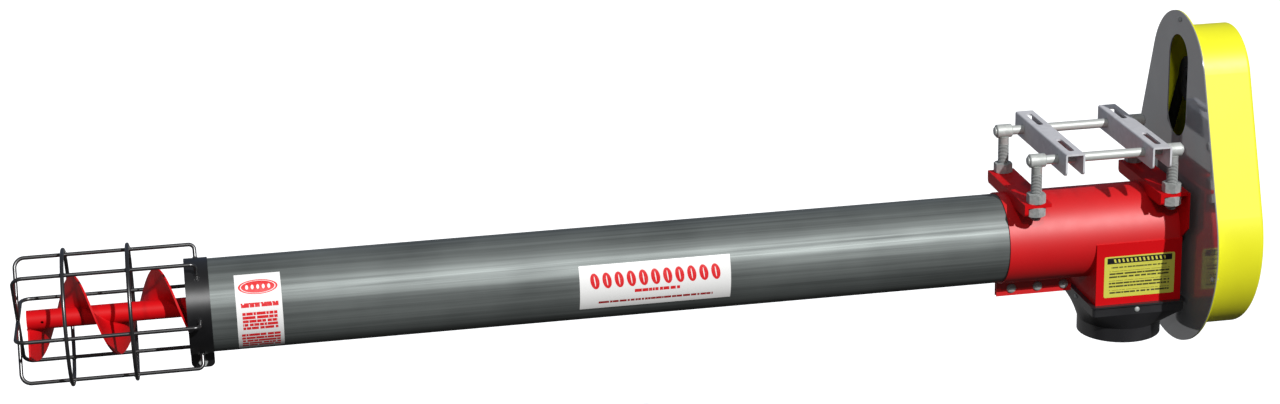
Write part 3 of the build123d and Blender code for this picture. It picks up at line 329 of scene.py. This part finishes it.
RED, RED_SHADE = (0.62, 0.003, 0.006), (0.53, 0.002, 0.004)
YELLOW, YELLOW_SHADE = (0.86, 0.85, 0.02), (0.78, 0.76, 0.012)
FINISHES = {
    "tube_steel": rolled_steel((0.25, 0.275, 0.268), (0.115, 0.128, 0.125), 0.53, 0.6, (1.2, 110, 110)),
    "dull_red": enamel(RED, RED_SHADE, 0.5, 1.28),
    "black_steel": black_coat((0.012, 0.012, 0.013), 0.0, 0.32, 300, 0.01, 2.1),
    "collar_black": black_coat((0.006, 0.006, 0.007), 0.0, 0.32, 500, 0.03, 2.0),
    "black_plastic": black_coat((0.020, 0.020, 0.022), 0.0, 0.28, 480, 0.03, 1.8),
    "black_iron": black_coat((0.004, 0.004, 0.0045), 0.0, 0.5, 420, 0.2, 1.3),
    "red_paint": enamel((0.66, 0.003, 0.006), (0.57, 0.002, 0.004), 0.52, 1.74),
    "zinc": zinc((0.48, 0.50, 0.49), (0.37, 0.39, 0.38), 0.52),
    "thread_steel": thread_steel,
    "bolt_steel": zinc((0.58, 0.60, 0.58), (0.47, 0.49, 0.47), 0.5, 0.25, 180),
    "rod_steel": rolled_steel((0.62, 0.64, 0.62), (0.50, 0.52, 0.50), 0.5, 0.3, (9, 260, 260)),
    "rail_steel": zinc((0.64, 0.64, 0.67), (0.57, 0.57, 0.60), 0.55, 0.0, 90),
    "bearing_steel": rolled_steel((0.62, 0.63, 0.65), (0.5, 0.5, 0.52), 0.35, 0.7, (300, 20, 20)),
    "housing_iron": cast((0.20, 0.20, 0.21)),
    "belt_rubber": belt_rubber,
    "plate_steel": mirror_sheet,
    "yellow_paint": enamel(YELLOW, YELLOW_SHADE, 0.45),
}
paint = {name: finish(name, fill) for name, fill in FINISHES.items()}


# ---------------------------------------------------------------- labels
LABEL_DEEP = 0.2 * MM
LABEL_STANDOFF = 0.15 * MM
PANEL_DEEP = 0.3 * MM
PANEL_STANDOFF = 0.16 * MM
PANEL_CORNER = 3 * MM


def around_tube(b):
    """Position along the tube and the angle up from the front, in metres and degrees."""
    x, y, z = b.axes()
    height = z - AXIS_Z
    angle = height.maths("ARCTAN2", 0 - y) * (360 / TURN)
    return x, angle


def printed_rows(b, u, v, rows, fill_low, fill_high, cells, seed):
    """Rows of short dashes that stand for small print."""
    row = v * rows
    line = row.fract().inside(fill_low, fill_high)
    spots = b.node("ShaderNodeCombineXYZ", None, {0: u * cells, 1: row.maths("FLOOR") + seed, 2: seed})
    dashes = b.node("ShaderNodeTexNoise", None, {"Vector": spots, "Scale": 1.0, "Detail": 0.0})
    return line * (dashes > 0.38)


def kernel(u, v, cu, cv, ru, rv):
    """Round spot with its centre and half sizes."""
    across, up = (u - cu) / ru, (v - cv) / rv
    return (across * across + up * up) < 1.0


WHITE, LABEL_RED, LABEL_DARK = (0.88, 0.88, 0.87), (0.72, 0.02, 0.025), (0.35, 0.02, 0.02)


def label_sockets(b, colour):
    scuff = b.noise(160, 4)
    return {
        "Base Color": b.mix(b.spread(scuff, 0.55, 0.8) * 0.12, colour, (0.6, 0.6, 0.58)),
        "Roughness": b.spread(scuff, 0.3, 0.7, 0.34, 0.46),
        "Normal": b.bump(scuff, 0.03, 0.0003),
    }


def wide_label(x0, x1, low, high):
    """White label: a row of red grain kernels over two lines of small print."""

    def fill(b):
        x, angle = around_tube(b)
        u, v = (x - x0) / (x1 - x0), (angle - low) / (high - low)
        cell = (u - 0.06) / 0.88 * 11
        lean = cell + (v - 0.66) * 0.5
        inside = u.inside(0.06, 0.94)
        grain = kernel(lean.fract(), v, 0.5, 0.66, 0.37, 0.17) * inside
        crease = kernel(lean.fract(), v, 0.5, 0.66, 0.045, 0.11)
        tag = u.inside(0.36, 0.66) * printed_rows(b, u, v, 9, 0.15, 0.8, 70, 3) * v.inside(0.335, 0.44)
        foot = u.inside(0.12, 0.88) * printed_rows(b, u, v, 9, 0.2, 0.7, 95, 8) * v.inside(0.112, 0.22)
        colour = b.mix(grain * (1 - crease), WHITE, LABEL_RED)
        colour = b.mix(tag, colour, LABEL_RED)
        return label_sockets(b, b.mix(foot, colour, LABEL_DARK))

    return fill


def narrow_label(x0, x1, low, high):
    """White label: a red badge over blocks of small print."""

    def fill(b):
        x, angle = around_tube(b)
        u, v = (x - x0) / (x1 - x0), (angle - low) / (high - low)
        badge = kernel(u, v, 0.5, 0.84, 0.43, 0.085)
        ring = kernel(u, v, 0.5, 0.84, 0.385, 0.074) * (1 - kernel(u, v, 0.5, 0.84, 0.365, 0.069))
        grains = kernel(((u - 0.2) / 0.6 * 5).fract(), v, 0.5, 0.84, 0.26, 0.026) * u.inside(0.2, 0.8)
        bold = u.inside(0.1, 0.92) * v.inside(0.615, 0.665) * printed_rows(b, u, v, 20, 0.0, 1.0, 16, 2)
        print_1 = u.inside(0.12, 0.88) * v.inside(0.35, 0.57) * printed_rows(b, u, v, 23, 0.1, 0.88, 18, 5)
        print_2 = u.inside(0.08, 0.92) * v.inside(0.04, 0.30) * printed_rows(b, u, v, 20, 0.12, 0.85, 20, 9)
        red = badge * (1 - ring) * (1 - grains)
        colour = b.mix(red, WHITE, LABEL_RED)
        return label_sockets(b, b.mix(bold + print_1 + print_2, colour, LABEL_RED))

    return fill


def warning_panel(x0, x1, z0, z1):
    """Yellow panel: a black bar with slanted stripes over lines of small print."""

    def fill(b):
        x, _, z = b.axes()
        u, v = (x - x0) / (x1 - x0), (z - z0) / (z1 - z0)
        slant = (u * 17 + v * 3).fract()
        bar = v.inside(0.82, 0.965) * u.inside(0.04, 0.96)
        stripes = slant.inside(0.0, 0.46) * v.inside(0.85, 0.935) * u.inside(0.13, 0.87)
        first = printed_rows(b, u, v, 13, 0.25, 0.72, 42, 4) * u.inside(0.1, 0.9) * v.inside(0.69, 0.79)
        body = printed_rows(b, u, v, 13, 0.22, 0.74, 34, 7) * u.inside(0.07, 0.93) * v.inside(0.06, 0.66)
        gaps = (v * 4.33).fract() < 0.78
        ink = bar * (1 - stripes) + first * 0.8 + body * gaps * 0.9
        return label_sockets(b, b.mix(ink, (0.64, 0.62, 0.085), (0.012, 0.012, 0.014)))

    return fill


# ---------------------------------------------------------------- mesh helpers
def piece(name, bm, material, body, replaced=(), smooth=True):
    """Turns a finished bmesh into an object that rides on a body."""
    mesh = bpy.data.meshes.new(name)
    bm.to_mesh(mesh)
    bm.free()
    made = bpy.data.objects.new(name, mesh)
    bpy.context.scene.collection.objects.link(made)
    mesh.materials.append(material)
    if smooth:
        mesh.shade_smooth()
        mesh.set_sharp_from_angle(angle=math.radians(32))
    if body:
        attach(made, body)
    if replaced:
        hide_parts(*replaced)
    return made


FRAMES = {
    "X": Matrix(((0, 0, 1), (1, 0, 0), (0, 1, 0))).to_4x4(),
    "Y": Matrix(((1, 0, 0), (0, 0, 1), (0, -1, 0))).to_4x4(),
    "-Y": Matrix(((1, 0, 0), (0, 0, -1), (0, 1, 0))).to_4x4(),
    "-X": Matrix(((0, 0, -1), (-1, 0, 0), (0, 1, 0))).to_4x4(),
    "Z": Matrix.Identity(4),
    "-Z": Matrix(((1, 0, 0), (0, -1, 0), (0, 0, -1))).to_4x4(),
}


def seat(centre, axis):
    """Matrix that stands a shape made on +Z at a place, pointing along an axis."""
    return Matrix.Translation(centre) @ FRAMES[axis]


def close_up(bm):
    bmesh.ops.remove_doubles(bm, verts=bm.verts, dist=2e-6)
    bmesh.ops.recalc_face_normals(bm, faces=bm.faces)


def turned(bm, profile, matrix, steps=40, loop=False):
    """Lathe work: (radius, height) points spun round the local Z axis."""
    fresh = bmesh.new()
    made = [fresh.verts.new((radius, 0, height)) for radius, height in profile]
    pairs = list(zip(made, made[1:])) + ([(made[-1], made[0])] if loop else [])
    made_edges = [fresh.edges.new(pair) for pair in pairs]
    bmesh.ops.spin(
        fresh,
        geom=made + made_edges,
        cent=(0, 0, 0),
        axis=(0, 0, 1),
        angle=TURN,
        steps=steps,
        use_merge=True,
    )
    close_up(fresh)
    stamp(bm, fresh, matrix)
    fresh.free()


def stamp(target, source, matrix):
    """Copies one bmesh into another through a matrix."""
    mesh = bpy.data.meshes.new("stamp")
    source.to_mesh(mesh)
    mesh.transform(matrix)
    target.from_mesh(mesh)
    bpy.data.meshes.remove(mesh)


def hexagon_blank(flats, height, bore=0.0):
    """Hexagon with its corners chamfered at both ends, and a bore if asked, standing on the origin."""
    bm = bmesh.new()
    corner = flats / math.sqrt(3)
    bmesh.ops.create_circle(bm, cap_ends=False, segments=6, radius=corner)
    bmesh.ops.subdivide_edges(bm, edges=bm.edges[:], cuts=3, use_grid_fill=False)
    if bore:
        bmesh.ops.create_circle(bm, cap_ends=False, segments=24, radius=bore)
        bmesh.ops.bridge_loops(bm, edges=bm.edges[:])
    else:
        bmesh.ops.contextual_create(bm, geom=bm.edges[:])
    grown = bmesh.ops.extrude_face_region(bm, geom=bm.faces[:], use_keep_orig=True)
    top = [g for g in grown["geom"] if isinstance(g, bmesh.types.BMVert)]
    bmesh.ops.translate(bm, verts=top, vec=(0, 0, height))
    close_up(bm)
    lean = math.radians(30)
    for k in range(6):
        angle = math.radians(90 + 60 * k)
        away = Vector((math.cos(angle), math.sin(angle), 0))
        for z, up in ((height, 1), (0, -1)):
            point = away * (flats / 2 * 1.015) + Vector((0, 0, z))
            normal = away * math.sin(lean) + Vector((0, 0, up * math.cos(lean)))
            cut = bm.verts[:] + bm.edges[:] + bm.faces[:]
            bmesh.ops.bisect_plane(bm, geom=cut, plane_co=point, plane_no=normal, clear_outer=True)
            rim = [e for e in bm.edges if e.is_boundary]
            bmesh.ops.holes_fill(bm, edges=rim, sides=0)
    close_up(bm)
    return bm


def threaded_stud(bm, radius, pitch, low, high, matrix, steps=20):
    """Rod with one helical V thread between two heights."""
    root = radius - 0.58 * pitch
    fresh = bmesh.new()
    tooth = [(root, 0.0), (radius, 0.46 * pitch), (radius, 0.54 * pitch), (root, pitch)]
    made = [fresh.verts.new((r, 0, low + h)) for r, h in tooth]
    made_edges = [fresh.edges.new(pair) for pair in zip(made, made[1:])]
    turns = int((high - low) / pitch) - 1
    bmesh.ops.spin(
        fresh,
        geom=made + made_edges,
        cent=(0, 0, 0),
        axis=(0, 0, 1),
        dvec=(0, 0, pitch / steps),
        angle=TURN * turns,
        steps=steps * turns,
    )
    close_up(fresh)
    stamp(bm, fresh, matrix)
    fresh.free()
    point = low - 0.4 * pitch
    core = [(0, point), (root * 0.9, point), (root * 1.01, low + 0.3 * pitch), (root * 1.01, high), (0, high)]
    turned(bm, core, matrix, steps)


# ---------------------------------------------------------------- finishes of the CAD nodes
SLOT_FINISH = {
    "tube": "tube_steel",
    "core_pipe": "dull_red",
    "intake_flights": "dull_red",
    "tube_flights": "dull_red",
    "discharge_flight": "dull_red",
    "intake_collar": "collar_black",
    "cage_ring_outer": "black_steel",
    "cage_ring_inner": "black_steel",
    "outlet_spout": "black_plastic",
    "head_sleeve": "red_paint",
    "discharge_box": "dull_red",
    "end_plate": "dull_red",
    "bracket_intake_side": "dull_red",
    "bracket_drive_side": "dull_red",
    "slide_rod_front": "rod_steel",
    "slide_rod_back": "rod_steel",
    "motor_rail_intake_side": "rail_steel",
    "motor_rail_drive_side": "rail_steel",
    "guard_plate": "plate_steel",
    "guard_cover": "yellow_paint",
    "bearing_housing": "housing_iron",
    "driven_sheave": "housing_iron",
    "motor_sheave": "black_iron",
    "bearing_outer_ring": "bearing_steel",
    "bearing_inner_ring": "bearing_steel",
    "bearing_balls": "bearing_steel",
    "drive_shaft": "bearing_steel",
    "lock_collar": "bearing_steel",
    "lock_collar_screw": "bearing_steel",
    "driven_set_screw": "bearing_steel",
    "motor_set_screw": "bearing_steel",
    "sheave_key": "bearing_steel",
    "v_belt": "belt_rubber",
}
SLOT_FINISH.update({f"cage_bar_{k}": "black_steel" for k in range(1, 7)})
for name, node in nodes.items():
    node.data.materials.clear()
    node.data.materials.append(paint[SLOT_FINISH.get(name, "zinc")])

# ---------------------------------------------------------------- eye bolts and stud nuts
STUD_R = 9.525 * MM
STUD_PITCH = 2.54 * MM
STUD_TIP_CHAMFER = 1.2 * MM
SHANK_R = 9.1 * MM
THREAD_RUNOUT = 3.2 * MM
NECK_BELOW_BARREL = 9 * MM
BARREL_BORE_R = 8.0 * MM
BARREL_CHAMFER = 1.5 * MM
BORE_CHAMFER = 0.6 * MM
for name, stud in zip(EYE_BOLTS, STUDS):
    low, high = span(name, 2)
    barrel_x0, barrel_x1 = span(name, 0)
    barrel_r = high - ROD_Z
    half = (barrel_x1 - barrel_x0) / 2
    bm = bmesh.new()
    ring = []
    for end in (1, -1):
        rim = [
            (BARREL_BORE_R, end * (half - BORE_CHAMFER)),
            (BARREL_BORE_R + BORE_CHAMFER, end * half),
            (barrel_r - BARREL_CHAMFER, end * half),
            (barrel_r, end * (half - BARREL_CHAMFER)),
        ]
        ring += rim[::end]
    turned(bm, ring, seat((stud.x, stud.y, ROD_Z), "X"), 48, loop=True)
    neck = ROD_Z - barrel_r - NECK_BELOW_BARREL
    threaded_stud(bm, STUD_R, STUD_PITCH, low + STUD_TIP_CHAMFER, neck, Matrix.Translation(stud))
    shank = [
        (0, neck - THREAD_RUNOUT),
        (8.1 * MM, neck - THREAD_RUNOUT),
        (SHANK_R, neck - THREAD_RUNOUT / 2),
        (SHANK_R, ROD_Z - barrel_r - 0.5 * MM),
        (10.2 * MM, ROD_Z - barrel_r + 1.6 * MM),
        (0, ROD_Z - barrel_r + 1.6 * MM),
    ]
    turned(bm, shank, Matrix.Translation(stud), 32)
    for face in bm.faces:
        face.material_index = int(face.calc_center_median().z < neck)
    made = piece(name + "_turned", bm, paint["bolt_steel"], "motor_base", [name])
    made.data.materials.append(paint["thread_steel"])


def hexagon_set(name, node, places, axis, flats, bore):
    """Detailed hexagons in place of a CAD node's plain ones."""
    low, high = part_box(node)
    along = "XYZ".index(axis[-1])
    height = high[along] - low[along]
    blank = hexagon_blank(flats, height, bore)
    bm = bmesh.new()
    for spot in places:
        base = Vector(spot)
        base[along] = high[along] if axis.startswith("-") else low[along]
        stamp(bm, blank, seat(base, axis))
    blank.free()
    piece(name, bm, paint["zinc"], "housing", [node])


NUT_FLATS = 28.6 * MM
NUT_BORE_R = STUD_R + 0.08 * MM
PINCH_FLATS = 12.7 * MM
PINCH_BORE_R = 4.05 * MM
hexagon_set("stud_nuts_above", "upper_nuts", STUDS, "Z", NUT_FLATS, bore=NUT_BORE_R)
hexagon_set("stud_nuts_below", "lower_nuts", STUDS, "Z", NUT_FLATS, bore=NUT_BORE_R)

pinch = middle("pinch_bolts")
pinch_x0, pinch_x1 = span("pinch_nuts", 0)
pinch_step = (pinch_x1 - pinch_x0 - PINCH_FLATS / math.cos(TURN / 12)) / 2
pinch_spots = [Vector((pinch.x + k * pinch_step, 0, pinch.z)) for k in (-1, 0, 1)]
hexagon_set("pinch_nuts_cut", "pinch_nuts", pinch_spots, "Y", PINCH_FLATS, bore=PINCH_BORE_R)


def round_head(bm, matrix, radius, height, shank_r, shank):
    """Domed head with a small flat rim, and its shank behind it."""
    dome = [(0, height)]
    for k in range(1, 8):
        angle = k * math.pi / 14
        dome.append((radius * math.sin(angle), height * (0.12 + 0.88 * math.cos(angle))))
    chamfer = 0.6 * MM
    dome += [(radius, 0), (shank_r, 0), (shank_r, chamfer - shank), (shank_r - chamfer, -shank), (0, -shank)]
    turned(bm, dome, matrix, 40)


PINCH_HEAD_R = 8.5 * MM
PINCH_HEAD_HEIGHT = 4.4 * MM
PINCH_SHANK_R = 3.95 * MM
bm = bmesh.new()
pinch_y0, pinch_y1 = span("pinch_bolts", 1)
head_face = pinch_y0 + PINCH_HEAD_HEIGHT
for spot in pinch_spots:
    place = seat((spot.x, head_face, spot.z), "-Y")
    round_head(bm, place, PINCH_HEAD_R, PINCH_HEAD_HEIGHT, PINCH_SHANK_R, pinch_y1 - head_face)
piece("pinch_bolts_domed", bm, paint["zinc"], "housing", ["pinch_bolts"])

# spout screws: pan heads on three faces
PAN_R = 4.7 * MM
PAN_HEIGHT = 2.6 * MM
SPOUT_SHANK_R = 2.05 * MM
SPOUT_SHANK = 11 * MM
bm = bmesh.new()
screw_low, screw_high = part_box("spout_screws")
screw_z = middle("spout_screws").z
for place, axis in (
    ((0, screw_low.y + PAN_HEIGHT, screw_z), "-Y"),
    ((0, screw_high.y - PAN_HEIGHT, screw_z), "Y"),
    ((screw_low.x + PAN_HEIGHT, 0, screw_z), "-X"),
):
    round_head(bm, seat(place, axis), PAN_R, PAN_HEIGHT, SPOUT_SHANK_R, SPOUT_SHANK)
piece("spout_screws_domed", bm, paint["zinc"], "housing", ["spout_screws"])

# ---------------------------------------------------------------- welds
def bead(bm, centre, radii, steps=2):
    """One lumpy weld puddle."""
    made = bmesh.ops.create_icosphere(bm, subdivisions=steps, radius=1.0)["verts"]
    bmesh.ops.scale(bm, verts=made, vec=radii)
    bmesh.ops.translate(bm, verts=made, vec=centre)


def around_axis(count):
    """Directions square to the screw's axis, evenly spread from the front upwards."""
    turns = [k * TURN / count for k in range(count)]
    return [Vector((0, -math.cos(a), math.sin(a))) for a in turns]


BAR_COUNT = 6
bm = bmesh.new()
ring_r = span("cage_ring_outer", 2)[1] - AXIS_Z
rod_r = 3.175 * MM
bar_r = ring_r - 3 * rod_r
for ring in ("cage_ring_outer", "cage_ring_inner"):
    for out in around_axis(BAR_COUNT):
        joint = Vector((middle(ring).x, 0, AXIS_Z)) + out * (bar_r + rod_r)
        for side in (-1, 1):
            bead(bm, joint + Vector((side * 2.2 * MM, 0, 0)), (2.6 * MM, 2.2 * MM, 2.2 * MM))
cage_end_x = span("cage_bar_1", 0)[0] + rod_r
bead(bm, Vector((cage_end_x, 0, AXIS_Z)), (3.1 * MM, 6.5 * MM, 6.5 * MM), 3)
collar_x = middle("intake_collar").x
collar_r = span("intake_collar", 1)[1]
for out in around_axis(BAR_COUNT):
    bead(bm, Vector((collar_x, 0, AXIS_Z)) + out * collar_r, (4.8 * MM, 4.4 * MM, 4.4 * MM))
piece("cage_welds", bm, paint["black_steel"], "housing")


def helix_bead(bm, start_angle, x0, turns, radius, thick, steps=36):
    """Fillet weld that follows the flighting's root along the core pipe."""
    fresh = bmesh.new()
    bmesh.ops.create_circle(fresh, cap_ends=True, segments=8, radius=thick)
    bmesh.ops.translate(fresh, verts=fresh.verts, vec=(radius, 0, 0))
    bmesh.ops.rotate(fresh, verts=fresh.verts, cent=(0, 0, 0), matrix=Matrix.Rotation(math.pi / 2, 3, "X"))
    bmesh.ops.spin(
        fresh,
        geom=fresh.verts[:] + fresh.edges[:] + fresh.faces[:],
        cent=(0, 0, 0),
        axis=(0, 0, 1),
        dvec=(0, 0, PITCH / steps),
        angle=TURN * turns,
        steps=steps * turns,
    )
    close_up(fresh)
    stamp(bm, fresh, Matrix.Translation((x0, 0, AXIS_Z)) @ FRAMES["X"] @ Matrix.Rotation(start_angle, 4, "Z"))
    fresh.free()


PITCH = 133.35 * MM
FLIGHT_THICKNESS = 3.2 * MM
INTAKE_TURNS = 2
ROOT_WELD_R = 1.5 * MM
FLIGHT_START = math.radians(90 + 141.4)  # from +Y: a quarter turn to straight up, then on towards -Y
bm = bmesh.new()
for shift in (0.0, FLIGHT_THICKNESS):
    helix_bead(bm, FLIGHT_START, CORE_X0 + shift, INTAKE_TURNS, CORE_R, ROOT_WELD_R)
piece("flight_root_welds", bm, paint["dull_red"], "screw")

# ---------------------------------------------------------------- labels
def curved_label(name, x0, x1, low, high, fill, steps=40):
    """Label wrapped on the tube between two angles up from the front."""
    fresh = bmesh.new()
    radius = TUBE_R + LABEL_STANDOFF
    made = [fresh.verts.new((x, -radius, AXIS_Z)) for x in (x0, x1)]
    fresh.edges.new(made)
    turn_by = Matrix.Rotation(math.radians(-low), 3, "X")
    bmesh.ops.rotate(fresh, verts=made, cent=(0, 0, AXIS_Z), matrix=turn_by)
    bmesh.ops.spin(
        fresh,
        geom=fresh.verts[:] + fresh.edges[:],
        cent=(0, 0, AXIS_Z),
        axis=(-1, 0, 0),
        angle=math.radians(high - low),
        steps=steps,
    )
    bmesh.ops.solidify(fresh, geom=fresh.faces[:], thickness=LABEL_DEEP)
    bmesh.ops.recalc_face_normals(fresh, faces=fresh.faces)
    piece(name, fresh, finish(name, fill(x0, x1, low, high)), "housing")


curved_label("wide_tube_label", -958 * MM, -705 * MM, -31, 28.5, wide_label)
curved_label("narrow_tube_label", -1514.5 * MM, -1441 * MM, -55, 55, narrow_label)

PANEL = (-58.5 * MM, 67 * MM, 89 * MM, 162.5 * MM)
bm = bmesh.new()
x0, x1, z0, z1 = PANEL
bmesh.ops.create_cube(bm, size=1.0)
bmesh.ops.scale(bm, verts=bm.verts, vec=(x1 - x0, PANEL_DEEP, z1 - z0))
bmesh.ops.translate(bm, verts=bm.verts, vec=((x0 + x1) / 2, BOX_FRONT_Y - PANEL_STANDOFF, (z0 + z1) / 2))
upright = [e for e in bm.edges if abs(e.verts[0].co.y - e.verts[1].co.y) > PANEL_DEEP / 3]
bmesh.ops.bevel(bm, geom=upright, offset=PANEL_CORNER, segments=5, profile=0.5, affect="EDGES", material=-1)
piece("warning_panel", bm, finish("warning_panel", warning_panel(*PANEL)), "housing")

# ---------------------------------------------------------------- belt
belt_mesh = nodes["v_belt"].data.copy()
bm = bmesh.new()
bm.from_mesh(belt_mesh)
bpy.data.meshes.remove(belt_mesh)
close_up(bm)
belt = piece("driving_belt", bm, paint["belt_rubber"], None, ["v_belt"])
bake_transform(belt)

# ---------------------------------------------------------------- studio
FLOOR_Z = -0.75
bm = bmesh.new()
bmesh.ops.create_grid(bm, x_segments=1, y_segments=1, size=30)
bmesh.ops.translate(bm, verts=bm.verts, vec=(0, 0, FLOOR_Z))
floor_mesh = bpy.data.meshes.new("floor")
bm.to_mesh(floor_mesh)
bm.free()
floor = bpy.data.objects.new("floor", floor_mesh)
bpy.context.scene.collection.objects.link(floor)


def floor_paint(b):
    return {
        "Base Color": (0.9, 0.9, 0.9),
        "Roughness": 0.9,
        "Emission Color": (1, 1, 1),
        "Emission Strength": 0.45,
    }


floor_mesh.materials.append(finish("floor_paint", floor_paint))
floor.visible_glossy = False
floor.visible_diffuse = False

world = bpy.data.worlds.new("studio")
bpy.context.scene.world = world
world.use_nodes = True
sky = Bench(world.node_tree)
way = sky.node("ShaderNodeTexCoord", out="Generated")
split = sky.node("ShaderNodeSeparateXYZ", None, {0: way}).socket.node
way_y, way_z = Wire(sky, split.outputs[1]), Wire(sky, split.outputs[2])


def grey(value, blue=0.0):
    return (value * (1 - blue), value * (1 - blue / 3), value * (1 + blue))


def sky_ramp(stops):
    placed = [((z + 1) / 2, colour) for z, colour in stops]
    return sky.node("ShaderNodeValToRGB", {"stops": placed}, {0: way_z * 0.5 + 0.5})


front = sky_ramp(
    [
        (-1.0, grey(0.035)),
        (-0.62, grey(0.05)),
        (-0.3, grey(0.055)),
        (-0.02, grey(0.08)),
        (0.2, grey(0.11)),
        (0.5, grey(0.20)),
        (0.72, grey(0.20)),
        (0.9, grey(0.15)),
        (1.0, grey(0.12)),
    ]
)
back = sky_ramp(
    [
        (-1.0, grey(0.05)),
        (-0.6, grey(0.10)),
        (-0.42, grey(0.36)),
        (-0.34, grey(0.42)),
        (-0.22, grey(0.50)),
        (-0.05, grey(0.22, 0.10)),
        (0.1, grey(0.25, 0.32)),
        (0.35, grey(0.24, 0.32)),
        (0.6, grey(0.20, 0.14)),
        (0.8, grey(0.20, 0.14)),
        (1.0, grey(0.14)),
    ]
)
blend = sky.spread(way_y, -0.12, 0.12)
around = sky.mix(blend, front, back)
mirrored = sky.node("ShaderNodeLightPath", out="Is Glossy Ray")
seen = sky.node("ShaderNodeLightPath", out="Is Camera Ray")
shade = sky.mix(seen, sky.mix(mirrored * 0.45, around, (0.0, 0.0, 0.0)), (1.0, 1.0, 1.0))
glow = sky.node("ShaderNodeBackground", None, {"Color": shade, "Strength": 1.0})
end = world.node_tree.nodes.new("ShaderNodeOutputWorld")
world.node_tree.links.new(glow.socket, end.inputs[0])


def sun(name, travel, strength, angle):
    lamp = bpy.data.lights.new(name, "SUN")
    lamp.energy = strength
    lamp.angle = math.radians(angle)
    made = bpy.data.objects.new(name, lamp)
    made.rotation_euler = Vector(travel).to_track_quat("-Z", "Y").to_euler()
    bpy.context.scene.collection.objects.link(made)
    return made


sun("key", (-0.415, 1.0, -0.82), 3.2, 0.9)
sun("fill", (0.27, 1.0, -0.75), 0.6, 3.0).visible_glossy = False

# ---------------------------------------------------------------- camera
AZ, EL, ROLL = math.radians(9.93), math.radians(18.17), math.radians(-1.5)
camera_data = bpy.data.cameras.new("camera")
camera = bpy.data.objects.new("camera", camera_data)
bpy.context.scene.collection.objects.link(camera)
bpy.context.scene.camera = camera
ahead = Vector((math.sin(AZ) * math.cos(EL), math.cos(AZ) * math.cos(EL), -math.sin(EL)))
right = Vector((math.cos(AZ), -math.sin(AZ), 0))
up = right.cross(ahead)
side = math.cos(ROLL) * right + math.sin(ROLL) * up
top = -math.sin(ROLL) * right + math.cos(ROLL) * up
turn = Matrix((side, top, -ahead)).transposed().to_4x4()
camera.matrix_world = Matrix.Translation((-1.54898, -4.04333, 1.64864)) @ turn
camera_data.sensor_width = 36.0
camera_data.lens = 73.30416
camera_data.clip_end = 100
bpy.context.scene.view_settings.view_transform = "Standard"
